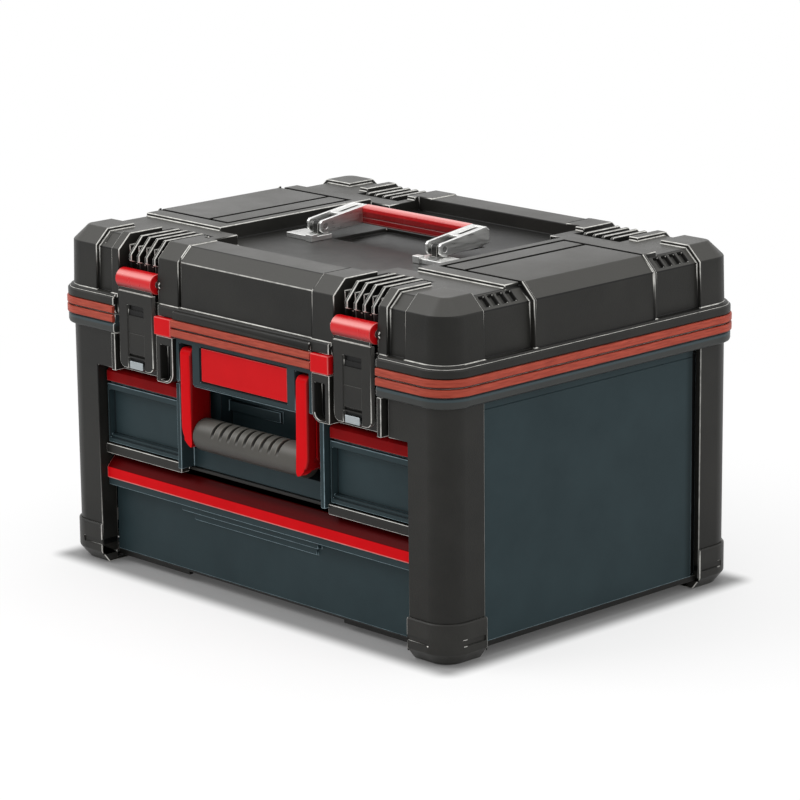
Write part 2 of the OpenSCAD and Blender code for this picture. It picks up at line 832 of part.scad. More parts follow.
// Plan of the raised areas of the lid.
module lid_raised_plan() {
    for (sx = [-1, 1], sy = [-1, 1])
        translate([sx * (corner_x + 30), sy * (corner_y + 30)]) square(60, center = true);
    for (s = [-1, 1]) {
        translate([s * (platform_x + 60), 0]) square([120, 2 * panel_half_y], center = true);
        translate([s * (platform_x + pad_x) / 2, 0])
            square([pad_x - platform_x, 2 * platform_y], center = true);
        for (sx = [-1, 1])
            translate([sx * (front_panel_x + panel_half_x) / 2, s * (front_panel_y + 25)])
                square([front_panel_x - panel_half_x, 50], center = true);
    }
    for (sx = [-1, 1], sy = [-1, 1], x = [bay_x0 - bay_rib_w / 2, bay_x1 + bay_rib_w / 2])
        translate([sx * x, sy * (front_panel_y + 20)]) square([bay_rib_w, 50], center = true);
}

module lid_outer_block(extra = 0) {
    profile_block(case_w + 2 * extra, case_d + 2 * extra, corner_r + extra,
                  [[0, flange_top_z - 2], [draft, shoulder_z], [chamfer_in + draft, lid_top_z + extra / 2]]);
}

// Everything outside the lid before the hollows are cut.
module lid_outside() {
    profile_block(case_w - 2 * skin_in, case_d - 2 * skin_in, corner_r - skin_in,
                  [[0, flange_top_z - 2], [draft, shoulder_z - 1.5], [chamfer_in, lid_top_z - skin_drop]]);
    intersection() {
        lid_outer_block();
        translate([0, 0, flange_top_z - 2]) linear_extrude(60) lid_raised_plan();
    }
    // middle panels at the front and back, a little lower than the ribs beside them
    intersection() {
        lid_outer_block(-panel_drop);
        front_and_back()
            slab([-panel_half_x - 0.5, -half_d - 1, flange_top_z - 2],
                 [panel_half_x + 0.5, -front_panel_y, lid_top_z + 1]);
    }
    // narrow ribs at both ends of each side panel
    intersection() {
        lid_outer_block(1.4);
        for (sx = [-1, 1], sy = [-1, 1])
            translate([sx * (pad_x + 10), sy * (panel_half_y + side_rib_w / 2), flange_top_z + 30])
                cube([40, side_rib_w, 80], center = true);
    }
    // stepped flange over the band, set back around the latches
    difference() {
        union() {
            ring(core_out, 10, 10, lid_z, flange_z, 5);
            intersection() {
                profile_block(case_w + 2 * rim_out - 2, case_d + 2 * rim_out - 2, rim_r - 1,
                              [[0.8, flange_z], [0, flange_z + 0.8], [0, flange_top_z - 3],
                               [1, flange_top_z - 2]]);
                ring(rim_out, 10, 10, flange_z - 1, flange_top_z, 5);
            }
            profile_block(case_w + 2 * core_out, case_d + 2 * core_out, corner_r + core_out,
                          [[0, flange_top_z - 2.5], [0, flange_top_z - 1], [1, flange_top_z]]);
        }
        front_notch(housing_x, leg_x, notch_y, lid_z - 1, flange_z);
        front_notch(latch_x + ear_x[0], leg_x, notch_y, flange_z - 1, flange_top_z + 1);
        front_notch(housing_x, leg_x, -half_d - core_out, flange_z - 1, flange_top_z + 1);
    }
}

// Hollow of the lid, drawn around the four latch and hinge bays.
module lid_hollow_plan(in) {
    difference() {
        rounded_rect(case_w - 2 * in, case_d - 2 * in, 12);
        for (sx = [-1, 1], sy = [-1, 1])
            translate([sx * latch_x, sy * (bay_back_y - lid_wall + 30)])
                square([bay_w + 2 * lid_wall, 60], center = true);
    }
}

module lid_hollow() {
    low_in = skin_in + draft + lid_wall;
    deck_top = lid_top_z - skin_drop - lid_wall;
    under_recess = recess_z - lid_wall;
    translate([0, 0, lid_z - 1]) linear_extrude(under_recess - lid_z + 1) lid_hollow_plan(low_in);
    // higher space on both sides of the recess
    both_sides() {
        slab([platform_x + 3, -bay_end_y + 6, lid_z], [pad_x - 4, bay_end_y - 6, deck_top]);
        slab([platform_x + 4, -platform_y + 4, lid_z],
             [pad_x - 6, platform_y - 4, lid_top_z - groove_depth - lid_wall]);
    }
}

// Cut for one bay, at the front right.
module bay_cut() {
    slab([bay_x0, -half_d - 5, flange_top_z], [bay_x1, -bay_back_y, lid_top_z + 1]);
    slab([bay_x0, -half_d - 5, bay_floor_z], [bay_x1, -bay_end_y, lid_top_z + 1]);
}

// Upright fins in a bay, wrapping over the shoulder and back along the top.
module bay_fins() {
    front = -half_d + 4.5;
    back = -half_d + fin_in;
    top = lid_top_z - 1.2;
    pitch = bay_w / (fin_count + 1);
    for (i = [1 : fin_count])
        x_prism(bay_x0 + i * pitch - fin_t / 2, bay_x0 + i * pitch + fin_t / 2)
            polygon([[back, flange_top_z - 0.5], [back, fin_step_z[0]], [front, fin_step_z[1]],
                     [front, shoulder_z - 3], [front + chamfer_in, top], [-bay_end_y - 3, top],
                     [-bay_end_y + 2, top - 4], [-bay_end_y + 2, bay_floor_z - 1],
                     [-bay_back_y + 1, bay_floor_z - 1], [-bay_back_y + 1, flange_top_z - 0.5]]);
}

// Ear beside the pivot bar.
module ear(x0) {
    low = flange_z + 0.5;
    x_prism(x0, x0 + ear_t) {
        translate(bar_at) circle(ear_r);
        translate([ear_front, low]) square([bay_depth + 1, bar_at[1] - low]);
    }
}

// Slots across the chamfer of the side segments.
module louvres() {
    run = atan2(lid_top_z - shoulder_z, chamfer_in);
    for (sx = [-1, 1], sy = [-1, 1], i = [0 : louvre_count - 1])
        translate([sx * (half_w - skin_in - draft - chamfer_in / 2),
                   sy * (louvre_y + (i - (louvre_count - 1) / 2) * louvre_pitch),
                   (shoulder_z + lid_top_z) / 2 - 2])
            rotate([0, sx * run, 0]) cube([9.5, louvre_w, 6], center = true);
}

// Shallow pockets on the chamfer beside each corner, at the front and back.
module chamfer_pockets() {
    run = atan2(lid_top_z - shoulder_z, chamfer_in);
    x0 = bay_x1 + bay_rib_w + 2;
    for (sx = [-1, 1], sy = [-1, 1])
        translate([sx * (x0 + corner_x - 4) / 2, sy * (half_d - skin_in - draft - chamfer_in / 2),
                   (shoulder_z + lid_top_z) / 2 - 0.2])
            rotate([-sy * run, 0, 0]) cube([corner_x - 4 - x0, 11, 3], center = true);
}

module top_grooves() {
    z = lid_top_z - groove_depth;
    for (sx = [-1, 1]) {
        for (x = strip_x)
            translate([sx * x, 0, z + 5]) cube([groove_w, 2 * pad_y, 10], center = true);
        for (sy = [-1, 1])
            translate([sx * (strip_x[0] + pad_x) / 2, sy * pad_y, z + 5])
                cube([pad_x - strip_x[0] + groove_w, groove_w, 10], center = true);
    }
}

module lid_shell() color(charcoal) difference() {
    union() {
        difference() {
            lid_outside();
            difference() {
                lid_hollow();
                slab([-finger_well[0] - lid_wall, finger_well[1] - lid_wall,
                      recess_z - finger_well_depth - lid_wall],
                     [finger_well[0] + lid_wall, finger_well[2] + lid_wall, recess_z]);
            }
            // recess for the top handle, with a finger well
            slab([-platform_x, -platform_y, recess_z], [platform_x, platform_y, lid_top_z + 1]);
            slab([-front_panel_x, -front_panel_y, recess_z], [front_panel_x, front_panel_y, lid_top_z + 1]);
            slab([-finger_well[0], finger_well[1], recess_z - finger_well_depth],
                 [finger_well[0], finger_well[2], lid_top_z]);
            both_sides() front_and_back() bay_cut();
            // groove beside the middle panel, front and back
            both_sides() front_and_back()
                slab([front_groove_x[0], -half_d - 1, flange_top_z],
                     [front_groove_x[1], -half_d + skin_in + draft, lid_top_z + 1]);
            louvres();
            chamfer_pockets();
            top_grooves();
        }
        both_sides() front_and_back() bay_fins();
        both_sides() {
            ear(latch_x + ear_x[0]);
            ear(latch_x + ear_x[1]);
        }
    }
    both_sides()
        x_rod(latch_x - latch_pin_l / 2 - 0.5, latch_x + latch_pin_l / 2 + 0.5, bar_at, latch_pin_r);
    // clearance for the hinges
    both_sides()
        slab([bay_x0, half_d, lid_z - 1], [bay_x1, half_d + 20, flange_top_z]);
}

module lid_band() color(band_red) strip_ring(lid_z + 0.1, flange_z - band_gap + 0.3);

module accent_blocks() color(red) both_sides() {
    slab([block_x[0], block_front, block_z[0]], [block_x[1], notch_y - 0.4, block_z[1]]);
    slab([block_x[0], notch_y - 0.4, lid_z + 0.1], [block_x[1], notch_y, block_z[1]]);
}

module latch_pins() color(steel) both_sides()
    x_rod(latch_x - latch_pin_l / 2, latch_x + latch_pin_l / 2, bar_at, latch_pin_r);

// ---- latches ----

// Cut into the face of a latch, as wide as its channel.
module channel_cut(depth, z0, z1) {
    translate([latch_x - latch_slot_w / 2, latch_front - 1, z0])
        cube([latch_slot_w, depth + 1, z1 - z0]);
}

module latch_plate() {
    half = latch_w / 2;
    r = latch_round;
    back = latch_front + latch_t;
    window = button_w / 2 + button_gap;
    seat = window + button_edge;
    difference() {
        union() {
            // plate with round lower corners
            translate([latch_x, back, 0]) rotate([90, 0, 0]) linear_extrude(latch_t) {
                translate([-half, latch_low_z + r]) square([latch_w, latch_top_z - latch_low_z - r]);
                translate([-half + r, latch_low_z]) square([latch_w - 2 * r, 2 * r]);
                for (s = [-1, 1]) translate([s * (half - r), latch_low_z + r]) circle(r);
            }
            // tab up to the pivot bar
            slab([latch_x - bar_l / 2 + 2, latch_front + 0.6, latch_top_z - 4],
                 [latch_x + bar_l / 2 - 2, latch_front + 3, bar_at[1] - 4]);
        }
        x_rod(0, 2 * latch_x, bar_at, latch_bar_r + 0.02);
        // steps above the tile, the tile itself and the gap under the button
        channel_cut(channel_deep, latch_step_z[1], latch_step_z[2]);
        channel_cut(channel_step, latch_step_z[0], latch_step_z[1] + 0.1);
        channel_cut(tile_sunk, button_z[0] - button_gap, latch_step_z[0] + 0.1);
        channel_cut(channel_gap, latch_ledge_z[1], button_z[0]);
        // seat of the clip
        channel_cut(channel_deep, latch_low_z - 1, latch_ledge_z[0]);
        // window for the release button, with room behind it for the button's edge
        slab([latch_x - window, latch_front - 1, button_z[0] - button_gap],
             [latch_x + window, back + 1, button_z[1] + button_gap]);
        slab([latch_x - seat, back - button_seat, button_z[0] - button_edge - button_gap],
             [latch_x + seat, back + 1, button_z[1] + button_edge + button_gap]);
    }
}

module latch_plate_left() color(charcoal) on_side(-1) latch_plate();
module latch_plate_right() color(charcoal) latch_plate();

module latch_bar() {
    difference() {
        x_rod(latch_x - bar_l / 2, latch_x + bar_l / 2, bar_at, latch_bar_r);
        x_rod(0, 2 * latch_x, bar_at, latch_pin_r + running_gap);
    }
}

module latch_bar_left() color(red) on_side(-1) latch_bar();
module latch_bar_right() color(red) latch_bar();

module latch_clip() {
    slab([latch_x - clip_w / 2, latch_front - 0.4, latch_low_z + 0.2],
         [latch_x + clip_w / 2, latch_front + channel_deep, clip_top_z]);
}

module latch_clip_left() color(steel) on_side(-1) latch_clip();
module latch_clip_right() color(steel) latch_clip();

module latch_button() {
    back = latch_front + latch_t - 1;
    edge = button_edge;
    slab([latch_x - button_w / 2, latch_front + tile_sunk, button_z[0]],
         [latch_x + button_w / 2, back, button_z[1]]);
    slab([latch_x - button_w / 2 - edge, back - 1.2, button_z[0] - edge],
         [latch_x + button_w / 2 + edge, back, button_z[1] + edge]);
}

module latch_button_left() color(charcoal) on_side(-1) latch_button();
module latch_button_right() color(charcoal) latch_button();

// ---- top handle ----

module top_handle_feet() color(steel) both_sides() {
    slab([foot_x[0], foot_y[0], recess_z], [foot_x[1], foot_y[1], recess_z + foot_plate_t]);
    translate([foot_x[0], foot_y[0] - 2, recess_z]) cube(foot_block);
}

// Lug between the two cheeks of a bracket.
module top_handle_lugs() color(charcoal) both_sides() difference() {
    low = recess_z + foot_plate_t;
    x_prism(bracket_x - lug_w / 2, bracket_x + lug_w / 2) {
        translate(lift_pivot) circle(lug_r);
        translate([lift_pivot[0] - lug_r, low]) square([2 * lug_r, lift_pivot[1] - low]);
    }
    x_rod(0, 200, lift_pivot, lift_pin_r);
}

module top_handle_pins() color(steel) both_sides()
    x_rod(bracket_x - bracket_w / 2, bracket_x + bracket_w / 2, lift_pivot, lift_pin_r);

// Height of the bracket's upper edge, which rises towards the grip.
function lift_top(y) = lift_pivot[1] + lift_r + (y - lift_pivot[0]) * lift_slope;

// Bracket: two cheeks, a slotted web over the rear half and an end wall.
module top_bracket() {
    x0 = bracket_x - bracket_w / 2;
    x1 = bracket_x + bracket_w / 2;
    front_y = lift_pivot[0] - lift_r;
    end_y = lift_pivot[0] + bracket_l;
    wall_in = end_y - lift_wall;
    slot_y = [web_y + 6, wall_in - 3];
    above = lift_top(end_y) + 5;
    difference() {
        x_prism(x0, x1) {
            // upright front, rounded below so that it turns clear of the plate
            intersection() {
                translate(lift_pivot) circle(lift_turn_r);
                translate([front_y, recess_z]) square([3 * lift_r, lift_pivot[1] + 0.1 - recess_z]);
            }
            polygon([[lift_pivot[0], lift_pivot[1] - lift_r], lift_low[0], [end_y, lift_low[1][1]],
                     [end_y, lift_top(end_y) - 3.4], [end_y - 3.3, lift_top(end_y - 3.3)],
                     [front_y + lift_corner, lift_top(front_y + lift_corner)],
                     [front_y, lift_top(front_y) - lift_corner], [front_y, lift_pivot[1]]]);
        }
        // open front between the cheeks
        slab([x0 + cheek_t, lift_pivot[0] - 10, recess_z], [x1 - cheek_t, web_y, above]);
        x_prism(x0 + cheek_t, x1 - cheek_t) {
            // web a little below the edges of the cheeks
            polygon([[web_y - 1, lift_top(web_y - 1) - web_sunk],
                     [wall_in, lift_top(wall_in) - web_sunk], [wall_in, above], [web_y - 1, above]]);
            // hollow under the web
            polygon([[web_y - 1, recess_z], [wall_in, recess_z],
                     [wall_in, lift_top(wall_in) - web_sunk - web_t],
                     [web_y - 1, lift_top(web_y - 1) - web_sunk - web_t]]);
        }
        // slot through the web
        slab([bracket_x - lift_slot_r, slot_y[0], recess_z], [bracket_x + lift_slot_r, slot_y[1], above]);
        for (y = slot_y)
            translate([bracket_x, y, recess_z]) cylinder(h = above - recess_z, r = lift_slot_r);
        x_rod(0, 200, lift_pivot, lift_pin_r + running_gap);
    }
}

module top_handle_bracket_left() color(steel) on_side(-1) top_bracket();
module top_handle_bracket_right() color(steel) top_bracket();

module top_handle_grip() color(red) {
    half = bracket_x - bracket_w / 2;
    y = lift_grip_y;
    z = lift_grip_z;
    difference() {
        x_prism(-half, half)
            polygon([[y[0] + 1.3, z[0]], [y[0], z[0] + 1.3], [y[0], z[2] - 2.2], [y[0] + 2.4, z[2] - 0.4],
                     [y[1] - 2, z[2]], [y[1], z[2] - 1.6], [y[1], z[0] + 2.4], [y[1] - 1.5, z[0] + 1]]);
        // line along the front
        slab([-half + 1, y[0] - 1, z[1] - 0.4], [half - 1, y[0] + 0.7, z[1] + 0.4]);
    }
}

// ---- drawers ----

module tray(x0, x1, y0, y1, z0, z1) {
    t = drawer_wall;
    difference() {
        slab([x0, y0, z0], [x1, y1, z1]);
        slab([x0 + t, y0 + t, z0 + t], [x1 - t, y1 - t, z1 + 1]);
    }
}

module lower_drawer_box() color(charcoal)
    tray(-post_in_x + box_gap, post_in_x - box_gap,
         lower_front_y + front_t, lower_front_y + front_t + drawer_depth, lower_z, lower_top_z);

module lower_drawer_front() color(slate) {
    x = post_in_x - front_gap;
    y = lower_front_y;
    slab([-x, y, lower_plate_z], [x, y + front_t, lower_plate_top_z]);
    // ledge under the lip and the stepped relief below it
    slab([-x, y - ledge_out, ledge_z], [x, y, lip_z]);
    for (step = relief)
        slab([step[0], y - step[4], step[2]], [step[1], y, step[3]]);
}

// Pull lip: upright below, leaning back above its front edge.
module lower_drawer_lip() color(red) {
    x = post_in_x - front_gap;
    y = lower_front_y;
    front = y - lip_out;
    x_prism(-x, x)
        polygon([[y, lip_z], [front, lip_z], [front, lip_edge_z], [front + 0.9, lip_edge_z + 1.2],
                 [y - 1.5, lip_z + lip_h], [y, lip_z + lip_h]]);
}

module upper_box() {
    y = upper_front_y + upper_front_t;
    tray(upper_in_x + 0.5, upper_out_x - 0.5, y, y + drawer_depth, upper_z, upper_box_top_z);
}

// Drawer front with a sunk panel, a step below it and a plate behind the rail.
module upper_front() {
    y = upper_front_y;
    back = y + upper_front_t;
    difference() {
        slab([upper_in_x, y, upper_z], [upper_out_x, back, upper_top_z]);
        slab([upper_in_x + 2, y - 1, upper_panel_z[0]],
             [upper_out_x - 2, y + upper_panel_depth, upper_panel_z[1]]);
        slab([upper_in_x + 2, y - 1, upper_bar_z], [upper_out_x - 2, y + 2, upper_panel_z[0] + 0.1]);
    }
    slab([upper_in_x, y + 4, upper_top_z - 0.1], [upper_out_x, back, rail_edge_z]);
}

// Rail above the front: upright below, leaning back above its edge.
module upper_rail() {
    y = upper_front_y - 0.5;
    back = upper_front_y + 4;
    x_prism(upper_in_x, upper_out_x)
        polygon([[y, rail_z], [y, rail_edge_z - 0.6], [y + 0.6, rail_edge_z], [back + 1, rail_top_z],
                 [back + 4, rail_top_z], [back + 4, rail_edge_z], [back, rail_edge_z], [back, rail_z]]);
}

module upper_drawer_left_box() color(charcoal) on_side(-1) upper_box();
module upper_drawer_left_front() color(slate) on_side(-1) upper_front();
module upper_drawer_left_rail() color(red) on_side(-1) upper_rail();
module upper_drawer_right_box() color(charcoal) upper_box();
module upper_drawer_right_front() color(slate) upper_front();
module upper_drawer_right_rail() color(red) upper_rail();

base_tray();
post_front_left();
post_front_right();
post_rear_left();
post_rear_right();
foot_cap_front_left();
foot_cap_front_right();
foot_cap_rear_left();
foot_cap_rear_right();
side_panel_left();
side_panel_right();
rear_panel();
rim_collar();
rim_band();
rim_gasket();
latch_guides();
drawer_headers();
centre_column();
front_plaque();
compartment_floor();
drawer_shelf();
drawer_partitions();
drawer_runners();
hinge_body_leaves();
hinge_pins();
case_screws();
carry_handle_pins();
lid_shell();
lid_band();
accent_blocks();
hinge_lid_leaves();
latch_pins();
top_handle_feet();
top_handle_lugs();
top_handle_pins();
latch_plate_left();
latch_bar_left();
latch_clip_left();
latch_button_left();
latch_plate_right();
latch_bar_right();
latch_clip_right();
latch_button_right();
carry_handle_arm_left();
carry_handle_arm_right();
carry_handle_rod();
carry_handle_grip();
top_handle_bracket_left();
top_handle_bracket_right();
top_handle_grip();
lower_drawer_box();
lower_drawer_front();
lower_drawer_lip();
upper_drawer_left_box();
upper_drawer_left_front();
upper_drawer_left_rail();
upper_drawer_right_box();
upper_drawer_right_front();
upper_drawer_right_rail();
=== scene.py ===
import json
import math
import bmesh
import bpy
from mathutils import Matrix, Vector

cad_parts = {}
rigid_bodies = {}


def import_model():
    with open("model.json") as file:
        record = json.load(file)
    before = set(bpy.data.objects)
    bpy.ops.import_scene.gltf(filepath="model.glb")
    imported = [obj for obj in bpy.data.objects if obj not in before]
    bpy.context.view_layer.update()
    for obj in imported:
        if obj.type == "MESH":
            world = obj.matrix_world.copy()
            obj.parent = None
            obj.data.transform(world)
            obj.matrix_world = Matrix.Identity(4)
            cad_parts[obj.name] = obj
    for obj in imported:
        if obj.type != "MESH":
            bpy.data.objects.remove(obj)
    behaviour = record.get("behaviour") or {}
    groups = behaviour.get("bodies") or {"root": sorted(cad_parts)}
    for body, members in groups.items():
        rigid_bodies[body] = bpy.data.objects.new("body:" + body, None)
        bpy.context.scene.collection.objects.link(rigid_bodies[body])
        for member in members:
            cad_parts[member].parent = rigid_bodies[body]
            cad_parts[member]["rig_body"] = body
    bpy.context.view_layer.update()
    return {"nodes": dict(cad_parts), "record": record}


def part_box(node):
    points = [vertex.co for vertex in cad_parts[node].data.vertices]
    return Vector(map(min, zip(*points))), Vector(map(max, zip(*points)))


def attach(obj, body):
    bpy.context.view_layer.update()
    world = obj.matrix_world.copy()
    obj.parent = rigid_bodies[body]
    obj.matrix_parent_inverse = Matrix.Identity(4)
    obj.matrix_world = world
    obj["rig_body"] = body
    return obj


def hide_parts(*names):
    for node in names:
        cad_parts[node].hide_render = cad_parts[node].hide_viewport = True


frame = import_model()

mm = 0.001
sides = ((-1, "left"), (1, "right"))
noiseRange = (0.3, 0.7)  # where most of a noise texture's values lie
nodes = frame["nodes"]
print("frame loaded:", len(nodes), "nodes")


def spot(x, y, z):
    return Vector((x, y, z)) * mm


def boxOf(node):
    # lowest and highest corner of a node, in millimetres
    low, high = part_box(node)
    return Vector(low) / mm, Vector(high) / mm


def keep(name, bm, body, material, replaces):
    # turns a finished bmesh into a smooth piece that rides on its body
    mesh = bpy.data.meshes.new(name)
    bm.to_mesh(mesh)
    bm.free()
    for face in mesh.polygons:
        face.use_smooth = True
    piece = bpy.data.objects.new(name, mesh)
    bpy.context.scene.collection.objects.link(piece)
    piece.data.materials.append(material)
    even = piece.modifiers.new("even normals", "WEIGHTED_NORMAL")
    even.weight = 100
    even.keep_sharp = True
    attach(piece, body)
    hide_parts(*replaces)
    return piece


# how edges are rounded: lengths in millimetres, angles in degrees
rounding = {
    "segments": 3, "fromAngle": 28, "shortestEdge": 0.1,
    "shares": (1, 0.4), "room": 2.3,  # the full width, or a thinner one where there is less room
    "faintBend": 14, "fullBend": 26, "faintEdgeMark": 0.06,  # a flat chamfer gets only a faint rubbed edge and painted edge highlight
    "overlapArea": 0.3, "sameFacing": 0.99995, "smoothBelow": 48, "mergeWithin": 0.02, "levelWithin": 0.8}


def markEdges(bm, wearAndPaintedLight, made):
    # the middle line of each rounded edge: up to 1 where it stands out, as a rubbed edge with a painted
    # highlight, and -1 where it is an inner corner, for painted shade
    bm.normal_update()
    fresh = set(made["faces"])
    bendRange = rounding["fullBend"] - rounding["faintBend"]
    for vert in made["verts"]:
        if not vert.is_valid or any(face not in fresh for face in vert.link_faces):
            continue
        around = sum((edge.other_vert(vert).co for edge in vert.link_edges), Vector()) / len(vert.link_edges)
        bend = math.degrees(max(edge.calc_face_angle(0) for edge in vert.link_edges))
        sharpness = min(1, max(rounding["faintEdgeMark"], (bend - rounding["faintBend"]) / bendRange))
        vert[wearAndPaintedLight] = sharpness if (around - vert.co).dot(vert.normal) < 0 else -1


def roomBeside(edge):
    # how far the narrower of its two faces reaches away from an edge, in millimetres
    start, along = edge.verts[0].co, (edge.verts[1].co - edge.verts[0].co).normalized()
    return min(max((vert.co - start).cross(along).length for vert in face.verts)
               for face in edge.link_faces) / mm


def inside(vert, zone):
    return all(zone["low"][i] <= vert.co[i] / mm <= zone["high"][i] for i in range(3))


def refillFlats(bm, rounded):
    # a flat whose outline has crossed itself is taken out with its level neighbours and filled again;
    # lists keep the order, so that each run fills them alike
    bm.normal_update()
    covered = {}
    for corners in bm.calc_loop_triangles():
        a, b, c = (loop.vert.co for loop in corners)
        covered[corners[0].face] = covered.get(corners[0].face, 0) + (b - a).cross(c - a).length / 2
    spare = rounding["overlapArea"] * mm * mm
    crossed = [face for face, area in covered.items() if area > face.calc_area() + spare]
    while crossed:
        facing = crossed[0].normal.copy()
        flat = [crossed[0]]
        for known in flat:  # grows as it goes
            for edge in known.edges:
                for face in edge.link_faces:
                    level = face.normal.dot(facing) > rounding["sameFacing"]
                    if face not in flat and not face[rounded] and level:
                        flat.append(face)
        crossed = [face for face in crossed if face not in flat]
        outline = [edge for edge in dict.fromkeys(edge for face in flat for edge in face.edges)
                   if sum(face in flat for face in edge.link_faces) == 1]
        bmesh.ops.delete(bm, geom=flat, context="FACES_KEEP_BOUNDARY")
        filled = bmesh.ops.triangle_fill(bm, edges=outline, use_beauty=True, normal=facing)["geom"]
        for face in (item for item in filled if isinstance(item, bmesh.types.BMFace)):
            face.normal_update()
            if face.normal.dot(facing) < 0:
                face.normal_flip()


def soften(bm, width, zones):
    # rounds creases and marks them for the rubbed edge with its painted highlight and for the painted shade
    # in inner corners; a zone has a width of its own, and 0 keeps its edges sharp
    wearAndPaintedLight = bm.verts.layers.float.get("wearAndPaintedLight") or bm.verts.layers.float.new("wearAndPaintedLight")
    rounded = bm.faces.layers.int.get("rounded") or bm.faces.layers.int.new("rounded")

    def widthAt(edge):
        own = (zone["width"] for zone in zones if all(inside(vert, zone) for vert in edge.verts))
        return next(own, width)

    def isCrease(edge):
        return (len(edge.link_faces) == 2 and edge.calc_face_angle(0) > math.radians(rounding["fromAngle"])
                and edge.calc_length() > rounding["shortestEdge"] * mm
                and not any(face[rounded] for face in edge.link_faces))

    for share in rounding["shares"]:
        for size in sorted({width, *(zone["width"] for zone in zones)} - {0}, reverse=True):
            wide = [edge for edge in bm.edges if isCrease(edge) and widthAt(edge) == size
                    and roomBeside(edge) > rounding["room"] * size * share]
            if wide:
                made = bmesh.ops.bevel(bm, geom=wide, offset=size * share * mm, offset_type="OFFSET",
                                       segments=rounding["segments"], profile=0.5, affect="EDGES",
                                       clamp_overlap=False, material=-1)
                for face in made["faces"]:
                    face[rounded] = 1
                markEdges(bm, wearAndPaintedLight, made)
    refillFlats(bm, rounded)
    # the low vertices of a zone, such as a groove's floor, are marked for painted shade
    for zone in zones:
        for vert in bm.verts:
            if inside(vert, zone) and vert.co.z / mm < zone.get("darkBelow", 0):
                vert[wearAndPaintedLight] = -1
    for edge in bm.edges:
        edge.smooth = edge.calc_face_angle(0) < math.radians(rounding["smoothBelow"])


def softCopy(node, material, width, zones):
    # a node's mesh with its flat faces whole again and its edges rounded
    bm = bmesh.new()
    bm.from_mesh(nodes[node].data)
    bmesh.ops.remove_doubles(bm, verts=bm.verts, dist=rounding["mergeWithin"] * mm)
    bmesh.ops.dissolve_limit(bm, angle_limit=math.radians(rounding["levelWithin"]), verts=bm.verts,
                             edges=bm.edges)
    soften(bm, width, zones)
    return keep("soft_" + node, bm, nodes[node]["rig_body"], material, replaces=(node,))


def put(tree, kind, **options):
    # adds a shader node with options of its own
    made = tree.nodes.new(kind)
    for name, value in options.items():
        setattr(made, name, value)
    return made


def feed(tree, target, value):
    # an input takes another node's output, or a plain value; a colour gets its alpha here
    if isinstance(value, bpy.types.NodeSocket):
        tree.links.new(value, target)
    elif target.type == "RGBA":
        target.default_value = (*value, 1)
    else:
        target.default_value = value


def calculated(tree, operation, first, second, clamp=False):
    made = put(tree, "ShaderNodeMath", operation=operation, use_clamp=clamp)
    feed(tree, made.inputs[0], first)
    feed(tree, made.inputs[1], second)
    return made.outputs[0]


def vectorOf(tree, operation, first, second=None):
    made = put(tree, "ShaderNodeVectorMath", operation=operation)
    feed(tree, made.inputs[0], first)
    if second is not None:
        feed(tree, made.inputs[1], second)
    return made.outputs["Value" if operation == "LENGTH" else "Vector"]


def ramped(tree, value, start, end, low=0, high=1, kind="LINEAR"):
    # low at start, high at end, and level beyond them
    made = put(tree, "ShaderNodeMapRange", interpolation_type=kind)
    given = {"Value": value, "From Min": start, "From Max": end, "To Min": low, "To Max": high}
    for name in given:
        feed(tree, made.inputs[name], given[name])
    return made.outputs["Result"]


def blended(tree, amount, first, second):
    # one colour into another
    made = put(tree, "ShaderNodeMix", data_type="RGBA")
    colours = [socket for socket in made.inputs if socket.type == "RGBA"]
    feed(tree, made.inputs[0], amount)
    feed(tree, colours[0], first)
    feed(tree, colours[1], second)
    return next(socket for socket in made.outputs if socket.type == "RGBA")


def noiseOf(tree, place, scale, **settings):
    made = put(tree, "ShaderNodeTexNoise")
    feed(tree, made.inputs["Vector"], place)
    feed(tree, made.inputs["Scale"], scale)
    for name, value in settings.items():
        feed(tree, made.inputs[name], value)
    return made.outputs["Fac"]


def newGroup(name, inputs, outputs):
    group = bpy.data.node_groups.new(name, "ShaderNodeTree")
    for label, kind, value in inputs:
        socket = group.interface.new_socket(name=label, in_out="INPUT", socket_type=kind)
        if value is not None:
            socket.default_value = value
    for label, kind in outputs:
        group.interface.new_socket(name=label, in_out="OUTPUT", socket_type=kind)
    return group, group.nodes.new("NodeGroupInput").outputs, group.nodes.new("NodeGroupOutput").inputs


def useGroup(tree, group, **values):
    made = put(tree, "ShaderNodeGroup", node_tree=group)
    for name, value in values.items():
        feed(tree, made.inputs[name], value)
    return made.outputs


def makeEdgeWearAndShade():
    # light where a proud edge is rubbed, with a painted highlight along it, uneven along its length, and
    # painted shade along inner corners
    group, given, result = newGroup(
        "edgeWearAndShade",
        [("Position", "NodeSocketVector", None), ("Edge", "NodeSocketFloat", 0),
         ("Scale", "NodeSocketFloat", 120), ("Unevenness", "NodeSocketFloat", 0.5)],
        [("Light", "NodeSocketFloat"), ("InnerShade", "NodeSocketFloat")])
    spots = noiseOf(group, given["Position"], given["Scale"], Detail=4, Roughness=0.65)
    spots = ramped(group, spots, 0.35, 0.62)
    uneven = ramped(group, given["Unevenness"], 0, 1, 1, spots)  # from plain 1 to the spots alone
    line = ramped(group, given["Edge"], 0.1, 0.75, kind="SMOOTHSTEP")
    feed(group, result["Light"], calculated(group, "MULTIPLY", uneven, line, clamp=True))
    feed(group, result["InnerShade"], calculated(group, "MULTIPLY", given["Edge"], -1, clamp=True))
    return group


